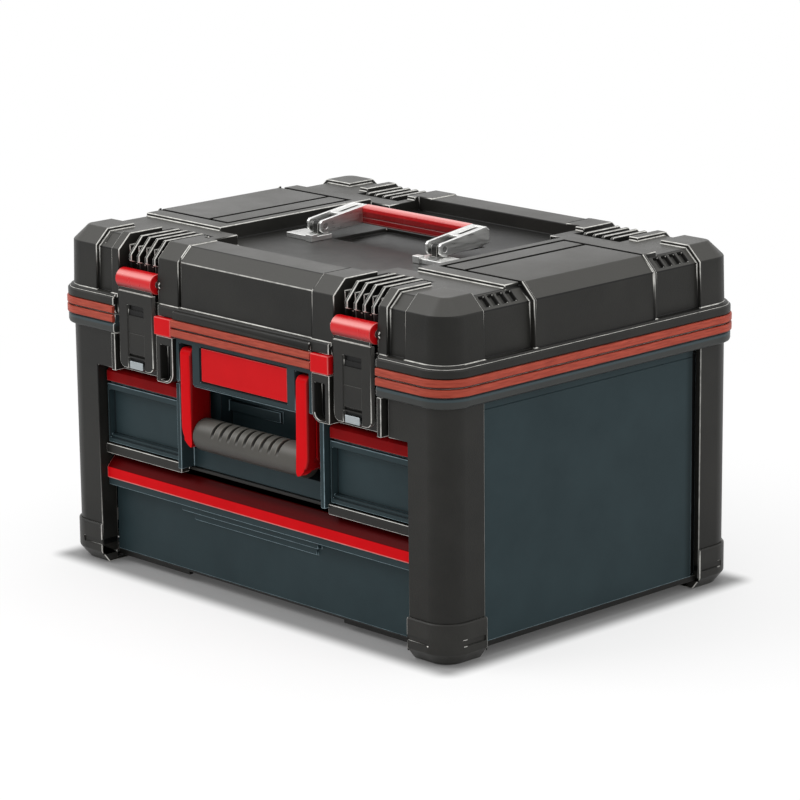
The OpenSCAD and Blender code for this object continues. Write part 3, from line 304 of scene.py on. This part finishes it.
def makeGrain():
    # fine moulded grain with a slower change of tone over it
    group, given, result = newGroup(
        "mouldedGrain",
        [("Position", "NodeSocketVector", None), ("Scale", "NodeSocketFloat", 900)],
        [("Height", "NodeSocketFloat"), ("Tone", "NodeSocketFloat")])
    pits = put(group, "ShaderNodeTexVoronoi", feature="SMOOTH_F1")
    feed(group, pits.inputs["Vector"], given["Position"])
    feed(group, pits.inputs["Scale"], given["Scale"])
    feed(group, pits.inputs["Smoothness"], 0.6)
    finer = calculated(group, "MULTIPLY", given["Scale"], 2.3)
    fine = noiseOf(group, given["Position"], finer, Detail=3)
    feed(group, result["Height"], calculated(group, "ADD", pits.outputs["Distance"], fine))
    feed(group, result["Tone"], noiseOf(group, given["Position"], 14, Detail=5, Roughness=0.6))
    return group


def makeBrushing():
    # long fine lines along one direction
    group, given, result = newGroup(
        "brushing",
        [("Position", "NodeSocketVector", None), ("Stretch", "NodeSocketVector", (1, 1, 1)),
         ("Scale", "NodeSocketFloat", 60)],
        [("Lines", "NodeSocketFloat")])
    stretched = vectorOf(group, "MULTIPLY", given["Position"], given["Stretch"])
    feed(group, result["Lines"], noiseOf(group, stretched, given["Scale"], Detail=6, Roughness=0.7))
    return group


edgeWearAndShade = makeEdgeWearAndShade()
mouldedGrain = makeGrain()
brushing = makeBrushing()


def newMaterial(name):
    material = bpy.data.materials.new(name)
    material.use_nodes = True
    tree = material.node_tree
    return material, tree, tree.nodes["Principled BSDF"].inputs, put(tree, "ShaderNodeTexCoord").outputs


def addBump(tree, shader, height, strength, depth):
    bump = put(tree, "ShaderNodeBump")
    feed(tree, bump.inputs["Height"], height)
    feed(tree, bump.inputs["Strength"], strength)
    feed(tree, bump.inputs["Distance"], depth)
    feed(tree, shader["Normal"], bump.outputs["Normal"])


def addGloss(tree, shader, value, look):
    low, high = look["roughness"] - look["roughnessSpread"], look["roughness"] + look["roughnessSpread"]
    feed(tree, shader["Roughness"], ramped(tree, value, *noiseRange, low, high))


def addPatch(tree, place, plain, patch):
    # another colour over part of a piece: where it lies along an axis in millimetres, or faces along one
    amount = patch["amount"]
    for by, axis, start, end in patch["where"]:
        facing = by == "facing"
        split = put(tree, "ShaderNodeSeparateXYZ")
        feed(tree, split.inputs[0], place["Normal" if facing else "Object"])
        unit = 1 if facing else mm
        within = ramped(tree, split.outputs[axis], start * unit, end * unit, kind="SMOOTHSTEP")
        amount = calculated(tree, "MULTIPLY", within, amount)
    return blended(tree, amount, plain, patch["colour"])


def mouldedMaterial(name, look):
    # moulded plastic: colour with slow mottling, rubbed edges with a painted highlight, painted shade in
    # inner corners and a fine grain; patches lay painted light and shade over some pieces
    material, tree, shader, place = newMaterial(name)
    edge = put(tree, "ShaderNodeAttribute", attribute_name="wearAndPaintedLight").outputs["Fac"]
    grain = useGroup(tree, mouldedGrain, Position=place["Object"], Scale=look["grainScale"])
    edgeMarks = useGroup(tree, edgeWearAndShade, Position=place["Object"], Edge=edge,
                    Scale=look.get("wearScale", 120), Unevenness=look["unevenness"])
    colour = blended(tree, ramped(tree, grain["Tone"], *noiseRange), look["dark"], look["light"])
    for patch in look.get("patches", ()):
        colour = addPatch(tree, place, colour, patch)
    # the rubbed edge with its painted highlight, then painted shade in inner corners, grooves and slots
    rubbedAndLit = calculated(tree, "MULTIPLY", edgeMarks["Light"], look["edgeWearHighlightAmount"])
    shadedCorners = calculated(tree, "MULTIPLY", edgeMarks["InnerShade"], look["shadeAmount"])
    colour = blended(tree, rubbedAndLit, colour, look["edge"])
    feed(tree, shader["Base Color"], blended(tree, shadedCorners, colour, look["shadeColour"]))
    addGloss(tree, shader, grain["Tone"], look)
    addBump(tree, shader, grain["Height"], look["bump"], 0.2 * mm)
    shader["Specular IOR Level"].default_value = look["specular"]
    return material


def metalMaterial(name, look):
    # brushed metal
    material, tree, shader, place = newMaterial(name)
    shader["Metallic"].default_value = 1
    lines = useGroup(tree, brushing, Position=place["Object"], Scale=look["scale"],
                     Stretch=look["stretch"])["Lines"]
    feed(tree, shader["Base Color"], blended(tree, lines, look["dark"], look["light"]))
    addGloss(tree, shader, lines, look)
    addBump(tree, shader, lines, look["bump"], 0.1 * mm)
    return material


def bandMaterial(name, look):
    # brushed strip: lines run along the rim, with a painted highlight on the upward-facing upper edge and
    # painted shade on the downward-facing underside
    material, tree, shader, place = newMaterial(name)
    edge = put(tree, "ShaderNodeAttribute", attribute_name="wearAndPaintedLight").outputs["Fac"]
    edgeMarks = useGroup(tree, edgeWearAndShade, Position=place["Object"], Edge=edge, Scale=80, Unevenness=0.3)
    lines = useGroup(tree, brushing, Position=place["Object"], Scale=look["scale"],
                     Stretch=look["stretch"])["Lines"]
    facing = put(tree, "ShaderNodeSeparateXYZ")
    feed(tree, facing.inputs[0], place["Normal"])
    # painted highlight on upward-facing edges and painted shade on downward-facing faces
    litAbove = ramped(tree, facing.outputs["Z"], 0.2, 0.6)
    shadedBelow = ramped(tree, facing.outputs["Z"], -0.1, -0.5, 0, look["bandShadeAmount"])
    colour = blended(tree, ramped(tree, lines, *noiseRange), look["dark"], look["light"])
    colour = blended(tree, calculated(tree, "MULTIPLY", litAbove, edgeMarks["Light"]), colour, look["edge"])
    feed(tree, shader["Base Color"], blended(tree, shadedBelow, colour, look["gap"]))
    addBump(tree, shader, lines, 0.25, 0.2 * mm)
    shader["Roughness"].default_value = look["roughness"]
    shader["Specular IOR Level"].default_value = 0.2
    return material


# in each look, the colour laid on proud edges is rubbed wear with a painted highlight, and the colour laid
# in inner corners, grooves and slots is painted shade
charcoalLook = {
    "dark": (0.012, 0.0118, 0.0105), "light": (0.023, 0.0224, 0.0199),
    "edge": (0.88, 0.87, 0.82), "edgeWearHighlightAmount": 1,
    "shadeColour": (0.001, 0.001, 0.001), "shadeAmount": 0.9, "roughness": 0.38, "roughnessSpread": 0.07,
    "grainScale": 900, "bump": 0.3, "specular": 0.2, "unevenness": 0.45}
slateLook = {
    "dark": (0.021, 0.036, 0.041), "light": (0.030, 0.049, 0.055),
    "edge": (0.32, 0.44, 0.49), "edgeWearHighlightAmount": 0.9,
    "shadeColour": (0.001, 0.002, 0.003), "shadeAmount": 0.9, "roughness": 0.4, "roughnessSpread": 0.06,
    "grainScale": 1300, "bump": 0.15, "specular": 0.1, "unevenness": 0.4}
redLook = {
    "dark": (0.60, 0.003, 0.006), "light": (0.69, 0.005, 0.009),
    "edge": (0.95, 0.28, 0.26), "edgeWearHighlightAmount": 0.5,
    "shadeColour": (0.06, 0.001, 0.001), "shadeAmount": 0.8, "roughness": 0.33, "roughnessSpread": 0.05,
    "grainScale": 1500, "bump": 0.06, "specular": 0.07, "unevenness": 0.3}
# colours of painted shade
shadedRed = (0.13, 0.002, 0.003)
black = (0.0015, 0.0015, 0.0015)
charcoal = mouldedMaterial("charcoalPlastic", charcoalLook)
slate = mouldedMaterial("slatePlastic", slateLook)
red = mouldedMaterial("redPlastic", redLook)

lidTops = [("facing", "Z", 0.8, 0.95), ("place", "Z", 274, 272)]  # what faces up below the lid's top: the recess floor, painted lighter and then darker towards the back as light and shade
lidPlastic = mouldedMaterial("lidPlastic", {**charcoalLook, "patches": [
    # painted highlight on the lid's upward-facing tops and chamfers
    {"where": [("facing", "Z", 0.5, 0.68), ("place", "Z", 262, 266)], "amount": 0.65,
     "colour": (0.085, 0.083, 0.076)},
    # the recess floor painted lighter as if lit, and painted shade towards its back
    {"where": lidTops, "amount": 1, "colour": (0.03, 0.0295, 0.0265)},
    {"where": [*lidTops, ("place", "Y", -95, -35)], "amount": 0.8, "colour": (0.006, 0.006, 0.0055)},
    *({"where": [("facing", "Z", 0.6, 0.4), ("place", "X", sign * 105, sign * 106.5),
                 ("place", "X", sign * 150, sign * 148.5), ("place", "Y", -118, -122)],
       "amount": 0.85, "colour": black} for sign, side in sides)]})  # painted shade in the bays behind the latches
trayPlastic = mouldedMaterial("trayPlastic", {
    **charcoalLook, "dark": (0.005, 0.005, 0.0045), "light": (0.009, 0.009, 0.008), "edgeWearHighlightAmount": 0.04})
postPlastic = mouldedMaterial("postPlastic", {**charcoalLook, "edgeWearHighlightAmount": 0.5, "patches": [
    # painted shade in the foot caps' slots, where the post shows through
    {"where": [("place", "Z", 15.5, 15.9), ("place", "Z", 20.5, 20.1)], "amount": 1, "colour": black}]})
buttonPlastic = mouldedMaterial("buttonPlastic", {**charcoalLook, "edgeWearHighlightAmount": 0.12})
guidePlastic = mouldedMaterial("guidePlastic", {**charcoalLook, "patches": [
    # painted shade on the set-back faces that face the front
    {"where": [("facing", "Y", -0.8, -0.95), ("place", "Y", -167.1, -166.6)], "amount": 0.95,
     "colour": black}]})
platePlastic = mouldedMaterial("platePlastic", {**charcoalLook, "patches": [
    # painted highlight on the sides facing right
    {"where": [("facing", "X", 0.15, 0.45)], "amount": 0.8, "colour": (0.12, 0.118, 0.11)},
    # painted shade on the set-back faces that face the front
    {"where": [("facing", "Y", -0.8, -0.95), ("place", "Y", -166.2, -165.6)], "amount": 0.9,
     "colour": black}]})
barRed = mouldedMaterial("barPlastic", {
    **redLook, "edgeWearHighlightAmount": 0.3, "specular": 0.4, "roughness": 0.28, "patches": [
        # painted highlight across the upper round of the bar
        {"where": [("facing", "Z", 0.3, 0.62), ("facing", "Z", 0.98, 0.72)], "amount": 0.75,
         "colour": (0.92, 0.34, 0.32)},
        # painted shade on its underside
        {"where": [("facing", "Z", -0.15, -0.6)], "amount": 0.8, "colour": shadedRed}]})
collarPlastic = mouldedMaterial("collarPlastic", {
    **charcoalLook, "dark": (0.034, 0.037, 0.036), "light": (0.046, 0.049, 0.047), "patches": [
        {"where": [("place", "Z", 206.3, 207.2)], "amount": 1, "colour": (0.047, 0.068, 0.075)}]})
capPlastic = mouldedMaterial("capPlastic", {
    **charcoalLook, "dark": (0.016, 0.0157, 0.014), "light": (0.034, 0.0332, 0.0300),
    "unevenness": 0.7, "wearScale": 60})
armRed = mouldedMaterial("armPlastic", {
    **redLook, "edgeWearHighlightAmount": 0.05, "specular": 0.03, "shadeAmount": 0.3, "patches": [
        # painted shade on the sides facing right
        {"where": [("facing", "X", 0.5, 0.9)], "amount": 0.8, "colour": shadedRed}]})
lipRed = mouldedMaterial("lipPlastic", {**redLook, "edgeWearHighlightAmount": 0.9, "specular": 0.03, "patches": [
    # painted shade on the sloping top, darker still at its upper part under the overhang
    {"where": [("facing", "Z", 0.25, 0.5)], "amount": 0.93, "colour": (0.045, 0.0006, 0.0008)},
    {"where": [("place", "Z", 86, 91)], "amount": 0.6, "colour": (0.010, 0.0005, 0.0005)}]})
railRed = mouldedMaterial("railPlastic", {
    **redLook, "dark": (0.20, 0.003, 0.004), "light": (0.26, 0.005, 0.006),
    "edge": (0.55, 0.14, 0.13), "specular": 0.03, "patches": [
        # painted shade on the upper part under the latch
        {"where": [("place", "Z", 164.8, 168)], "amount": 0.85, "colour": (0.02, 0.0005, 0.0005)}]})
sidePanel = mouldedMaterial("sidePanel", {**slateLook, "patches": [
    # painted shade towards the rear end, and a painted shadow line at the rib
    {"where": [("place", "Y", 105.5, 113.8)], "amount": 0.75, "colour": (0.004, 0.010, 0.012)},
    {"where": [("place", "Y", 115.1, 115.3)], "amount": 1, "colour": black}]})
glossyRed = mouldedMaterial("glossyRedPlastic", {
    **redLook, "specular": 0.5, "roughness": 0.24, "edgeWearHighlightAmount": 0.8, "patches": [
        # painted highlight on top and painted shade on the lower front
        {"where": [("facing", "Z", 0.6, 0.9)], "amount": 0.6, "colour": (0.95, 0.48, 0.45)},
        {"where": [("facing", "Y", -0.5, -0.9), ("place", "Z", 288, 286.5)], "amount": 0.75,
         "colour": shadedRed}]})
rubber = mouldedMaterial("gripRubber", {
    "dark": (0.050, 0.047, 0.040), "light": (0.076, 0.071, 0.061),
    "edge": (0.30, 0.28, 0.24), "edgeWearHighlightAmount": 0.6,
    "shadeColour": (0.001, 0.001, 0.001), "shadeAmount": 0.97, "roughness": 0.42, "roughnessSpread": 0.06,
    "grainScale": 1100, "bump": 0.3, "specular": 0.35, "unevenness": 0.4, "patches": [
        # painted highlight on top and painted shade underneath
        {"where": [("facing", "Z", 0.35, 0.8)], "amount": 0.8, "colour": (0.15, 0.145, 0.13)},
        {"where": [("facing", "Z", -0.1, -0.7)], "amount": 0.6, "colour": (0.02, 0.019, 0.017)}]})
# the band's light edge colour is a painted highlight and its dark colour below is painted shade
band = bandMaterial("brushedBand", {
    "dark": (0.26, 0.030, 0.016), "light": (0.50, 0.085, 0.048), "edge": (0.95, 0.45, 0.38),
    "gap": (0.03, 0.003, 0.002), "bandShadeAmount": 0.9, "stretch": (1, 1, 14), "scale": 60, "roughness": 0.45})
brightMetal = metalMaterial("polishedAluminium", {
    "dark": (0.55, 0.55, 0.54), "light": (0.90, 0.90, 0.88), "stretch": (12, 1, 12), "scale": 60,
    "roughness": 0.34, "roughnessSpread": 0.1, "bump": 0.12})
steel = metalMaterial("steel", {
    "dark": (0.32, 0.32, 0.32), "light": (0.55, 0.55, 0.54), "stretch": (1, 12, 12), "scale": 80,
    "roughness": 0.35, "roughnessSpread": 0.08, "bump": 0.1})
darkSteel = metalMaterial("darkSteel", {
    "dark": (0.02, 0.02, 0.02), "light": (0.05, 0.05, 0.05), "stretch": (1, 12, 12), "scale": 80,
    "roughness": 0.5, "roughnessSpread": 0.08, "bump": 0.1})
clipMetal = metalMaterial("clipMetal", {
    "dark": (0.22, 0.25, 0.26), "light": (0.50, 0.54, 0.56), "stretch": (1, 12, 12), "scale": 90,
    "roughness": 0.3, "roughnessSpread": 0.08, "bump": 0.1})

# what each material slot looks like, and the nodes with a finish of their own
finishOf = {"charcoal_plastic": charcoal, "slate_plastic": slate, "red_plastic": red, "band_red": band,
            "bright_metal": brightMetal, "steel": steel, "grip_rubber": rubber}
specialFinish = {
    "lid_shell": lidPlastic, "latch_guides": guidePlastic, "base_tray": trayPlastic,
    "rim_collar": collarPlastic, "lower_drawer_lip": lipRed, "top_handle_grip": glossyRed,
    "latch_pins": darkSteel}
for sign, side in sides:
    specialFinish.update({
        "post_front_" + side: postPlastic, "post_rear_" + side: postPlastic,
        "foot_cap_front_" + side: capPlastic, "foot_cap_rear_" + side: capPlastic,
        "latch_button_" + side: buttonPlastic, "latch_plate_" + side: platePlastic,
        "latch_bar_" + side: barRed, "latch_clip_" + side: clipMetal,
        "side_panel_" + side: sidePanel, "upper_drawer_" + side + "_rail": railRed,
        "carry_handle_arm_" + side: armRed})
slotOf = {part["node"]: part["material_slot"] for part in frame["record"]["subparts"]}
materialOf = {name: specialFinish.get(name, finishOf[slotOf[name]]) for name in nodes}
for nodeName, node in nodes.items():
    if not node.material_slots:
        node.data.materials.append(None)
    for place in node.material_slots:
        place.link = "OBJECT"
        place.material = materialOf[nodeName]
print("materials ready")

# edge radius in millimetres; what isn't named keeps the plain edge
edgeSizes = {
    "lid_shell": 0.9, "rim_collar": 0.7, "latch_guides": 0.7, "base_tray": 0.6, "drawer_shelf": 0.6,
    "drawer_headers": 0.5, "centre_column": 0.7, "front_plaque": 0.4,
    "side_panel_left": 0.6, "side_panel_right": 0.6, "rear_panel": 0.6,
    "rim_band": 0.4, "lid_band": 0.4, "accent_blocks": 1.0,
    "lower_drawer_front": 0.6, "lower_drawer_lip": 1.6, "lower_drawer_box": 0.5, "compartment_floor": 0.5,
    "hinge_body_leaves": 0.3, "hinge_lid_leaves": 0.3, "top_handle_feet": 0.5, "top_handle_grip": 0.7,
    "top_handle_lugs": 0.3, "case_screws": 0.2}
for sign, side in sides:
    edgeSizes.update({
        "upper_drawer_" + side + "_front": 0.6, "upper_drawer_" + side + "_rail": 0.7,
        "upper_drawer_" + side + "_box": 0.5, "latch_plate_" + side: 0.6, "latch_bar_" + side: 0.6,
        "latch_clip_" + side: 0.4, "latch_button_" + side: 0.4, "carry_handle_arm_" + side: 2.4,
        "top_handle_bracket_" + side: 0.5, "post_front_" + side: 0.9, "post_rear_" + side: 0.9,
        "foot_cap_front_" + side: 0.9, "foot_cap_rear_" + side: 0.9})


def zoneOf(sign, across, along, upwards, width, **more):
    # a box in millimetres, given for the right side and turned over for the left
    low, high = zip(sorted(sign * x for x in across), along, upwards)
    return {"low": low, "high": high, "width": width, **more}


# parts of a piece with an edge width of their own
zonesOf = {"lid_shell": [zoneOf(sign, (122, 212), (-71, 71), (278, 282.3), 0, darkBelow=280)
                         for sign, side in sides]}  # the grooves of the flat pads, kept sharp and painted with shade below 280 mm
for sign, side in sides:
    zonesOf["side_panel_" + side] = [zoneOf(sign, (200, 230), (-150, 116), (192, 196), 0)]
    zonesOf["carry_handle_arm_" + side] = [zoneOf(sign, (-76, 76), (-170, -140), (119, 128), 0.4)]
    zonesOf["latch_plate_" + side] = [
        zoneOf(sign, (103, 107), (-168, -166.5), (170, 240), 2),
        zoneOf(sign, (147, 151), (-168, -166.5), (170, 240), 2),
        zoneOf(sign, (116.6, 137.6), (-168, -160), (185, 220), 0)]

for nodeName, width in edgeSizes.items():
    softCopy(nodeName, materialOf[nodeName], width, zonesOf.get(nodeName, ()))
print("softened shells:", len(edgeSizes))


def makeCarryGrip():
    # rubber sleeve with rounded ends and a row of slots over its upper front, painted with shade in the
    # slots and a painted highlight on their rims
    look = {"rings": 248, "around": 96, "endRound": 0.7, "swell": 0.1,
            "slots": 9, "pitch": 9.6, "slotWidth": 3.4, "slotDepth": 2.2, "slotFrom": -35, "slotTo": 82,
            "slotEnds": 5, "slotFloor": 4, "rimReach": 1.5, "rimHighlight": 0.8}
    low, high = boxOf("carry_handle_grip")
    centreY, centreZ = (low.y + high.y) / 2, (low.z + high.z) / 2
    radius, length = (high.z - low.z) / 2, high.x - low.x
    bm = bmesh.new()
    wearAndPaintedLight = bm.verts.layers.float.new("wearAndPaintedLight")
    line = [bm.verts.new(spot(low.x, 0, radius - look["endRound"]))]
    for i in range(1, look["rings"] + 1):
        line.append(bm.verts.new(spot(low.x + length * i / look["rings"], 0, radius)))
    edges = [bm.edges.new(pair) for pair in zip(line, line[1:])]
    bmesh.ops.spin(bm, geom=line + edges, cent=(0, 0, 0), axis=(1, 0, 0), angle=math.tau,
                   steps=look["around"], use_merge=True)
    half = length / 2
    for vert in bm.verts:
        x = vert.co.x / mm
        angle = math.degrees(math.atan2(-vert.co.y, vert.co.z))  # 0 on top, 90 at the front
        fromEnd = half - abs(x)
        size = radius - look["swell"] * (abs(x) / half) ** 2
        if fromEnd < look["endRound"]:
            inwards = look["endRound"] - fromEnd
            size -= look["endRound"] - math.sqrt(max(look["endRound"] ** 2 - inwards ** 2, 0))
        nearest = round(x / look["pitch"])
        if abs(nearest) <= (look["slots"] - 1) / 2:
            across = abs(x - nearest * look["pitch"]) / (look["slotWidth"] / 2)
            along = (angle - look["slotFrom"]) / (look["slotTo"] - look["slotFrom"])
            if across < look["rimReach"] and 0 < along < 1:
                fade = min(1, look["slotEnds"] * min(along, 1 - along))
                if across < 1:
                    depth = fade * (1 - across ** look["slotFloor"])
                    size -= look["slotDepth"] * depth
                    # painted shade in the slot
                    vert[wearAndPaintedLight] = -depth
                else:
                    # painted highlight on the slot's rim
                    vert[wearAndPaintedLight] = look["rimHighlight"] * fade
        out = Vector((0, vert.co.y, vert.co.z)).normalized()
        vert.co = Vector((vert.co.x, out.y * size * mm, out.z * size * mm))
    ends = [edge for edge in bm.edges if edge.is_boundary]
    bmesh.ops.holes_fill(bm, edges=ends, sides=look["around"] * 2)
    bmesh.ops.recalc_face_normals(bm, faces=bm.faces)
    bmesh.ops.translate(bm, vec=spot(0, centreY, centreZ), verts=bm.verts)
    keep("gripSleeve", bm, "carry_handle", rubber, replaces=("carry_handle_grip",))


makeCarryGrip()
print("carry grip")


def makeFloor():
    # lit and shadowed near the box, with a painted contact shadow along its footprint, fading to plain white
    # further out
    look = {"size": 16.0, "drop": 0.0002, "bounce": 0.9, "shade": 0.34, "lift": 0.67,
            "fadeFrom": 0.42, "fadeTo": 0.95,
            "footprint": (0.222, 0.162), "contactShadowLift": 0.06, "contactShadowReach": 0.022}
    bm = bmesh.new()
    bmesh.ops.create_grid(bm, x_segments=2, y_segments=2, size=look["size"] / 2)
    bmesh.ops.translate(bm, vec=(0, 0, -look["drop"]), verts=bm.verts)
    mesh = bpy.data.meshes.new("floor")
    bm.to_mesh(mesh)
    bm.free()
    floor = bpy.data.objects.new("floor", mesh)
    bpy.context.scene.collection.objects.link(floor)
    material = bpy.data.materials.new("paleFloor")
    material.use_nodes = True
    tree = material.node_tree
    tree.nodes.remove(tree.nodes["Principled BSDF"])
    place = put(tree, "ShaderNodeTexCoord").outputs["Object"]
    away = vectorOf(tree, "LENGTH", place)
    fade = ramped(tree, away, look["fadeFrom"], look["fadeTo"], kind="SMOOTHSTEP")
    # painted contact shadow: less glow close to the box, where its feet meet the floor
    beyond = vectorOf(tree, "SUBTRACT", vectorOf(tree, "ABSOLUTE", place), (*look["footprint"], 0))
    reach = vectorOf(tree, "LENGTH", vectorOf(tree, "MAXIMUM", beyond, (0, 0, 0)))
    emissionWithContactShadow = ramped(tree, reach, 0, look["contactShadowReach"], look["contactShadowLift"], look["lift"], kind="SMOOTHSTEP")

    def surface(kind, name, value):
        made = put(tree, kind)
        feed(tree, made.inputs[name], value)
        return made.outputs[0]

    def mixedSurface(amount, first, second):
        made = put(tree, "ShaderNodeMixShader")
        for target, value in zip(made.inputs, (amount, first, second)):
            feed(tree, target, value)
        return made.outputs[0]

    near = put(tree, "ShaderNodeAddShader")
    feed(tree, near.inputs[0], surface("ShaderNodeBsdfDiffuse", "Color", [look["shade"]] * 3))
    feed(tree, near.inputs[1], surface("ShaderNodeEmission", "Strength", emissionWithContactShadow))
    seen = mixedSurface(fade, near.outputs[0], surface("ShaderNodeEmission", "Strength", 1))
    bounced = surface("ShaderNodeBsdfDiffuse", "Color", [look["bounce"]] * 3)
    ray = put(tree, "ShaderNodeLightPath")
    either = mixedSurface(ray.outputs["Is Camera Ray"], bounced, seen)
    feed(tree, tree.nodes["Material Output"].inputs["Surface"], either)
    mesh.materials.append(material)


def makeWorld():
    # white to the eye and in reflections, softer as a light
    look = {"lightStrength": 0.55}
    world = bpy.data.worlds.new("studio")
    bpy.context.scene.world = world
    world.use_nodes = True
    tree = world.node_tree
    shader = tree.nodes["Background"].inputs
    feed(tree, shader["Color"], (1, 1, 1))
    ray = put(tree, "ShaderNodeLightPath").outputs
    seen = calculated(tree, "ADD", ray["Is Camera Ray"], ray["Is Glossy Ray"], clamp=True)
    seenAll = calculated(tree, "ADD", seen, ray["Is Transmission Ray"], clamp=True)
    feed(tree, shader["Strength"], ramped(tree, seenAll, 0, 1, look["lightStrength"], 1))


def makeLamp(name, look):
    lamp = bpy.data.lights.new(name, "AREA")
    lamp.shape = "RECTANGLE"
    lamp.size, lamp.size_y = look["size"]
    lamp.energy = look["power"]
    holder = bpy.data.objects.new(name, lamp)
    bpy.context.scene.collection.objects.link(holder)
    holder.location = look["place"]
    aim = Vector(look["aim"]) - Vector(look["place"])
    holder.rotation_euler = aim.to_track_quat("-Z", "Y").to_euler()


def makeCamera():
    look = {"azimuth": 46.059, "elevation": 14.104, "roll": -0.593, "distance": 2.8508,
            "height": 0.1125, "shift": (0.00396, 0.0282), "lens": 156.66, "sensor": 36}
    turn, rise, roll = (math.radians(look[key]) for key in ("azimuth", "elevation", "roll"))
    back = Vector((math.sin(turn) * math.cos(rise), -math.cos(turn) * math.cos(rise), math.sin(rise)))
    right = Vector((math.cos(turn), math.sin(turn), 0))
    up = back.cross(right)
    place = Vector((0, 0, look["height"])) + back * look["distance"]
    place = place + right * look["shift"][0] + up * look["shift"][1]
    tiltedRight = right * math.cos(roll) + up * math.sin(roll)
    tiltedUp = up * math.cos(roll) - right * math.sin(roll)
    turned = Matrix((tiltedRight, tiltedUp, back)).transposed().to_4x4()
    data = bpy.data.cameras.new("camera")
    data.lens = look["lens"]
    data.sensor_width = look["sensor"]
    camera = bpy.data.objects.new("camera", data)
    bpy.context.scene.collection.objects.link(camera)
    camera.matrix_world = Matrix.Translation(place) @ turned
    bpy.context.scene.camera = camera


makeFloor()
makeWorld()
makeLamp("keyLight", {"place": (-1.2, -1.4, 2.0), "aim": (0, 0, 0.12), "size": (1.6, 1.6), "power": 26})
makeLamp("sideLight", {"place": (2.2, 0.6, 1.3), "aim": (0, 0, 0.12), "size": (1.4, 1.4), "power": 10})
makeLamp("topLight", {"place": (0.1, 0.3, 2.3), "aim": (0, 0, 0.2), "size": (2.0, 2.0), "power": 16})
makeCamera()
bpy.context.scene.view_settings.view_transform = "Standard"
print("light and camera")
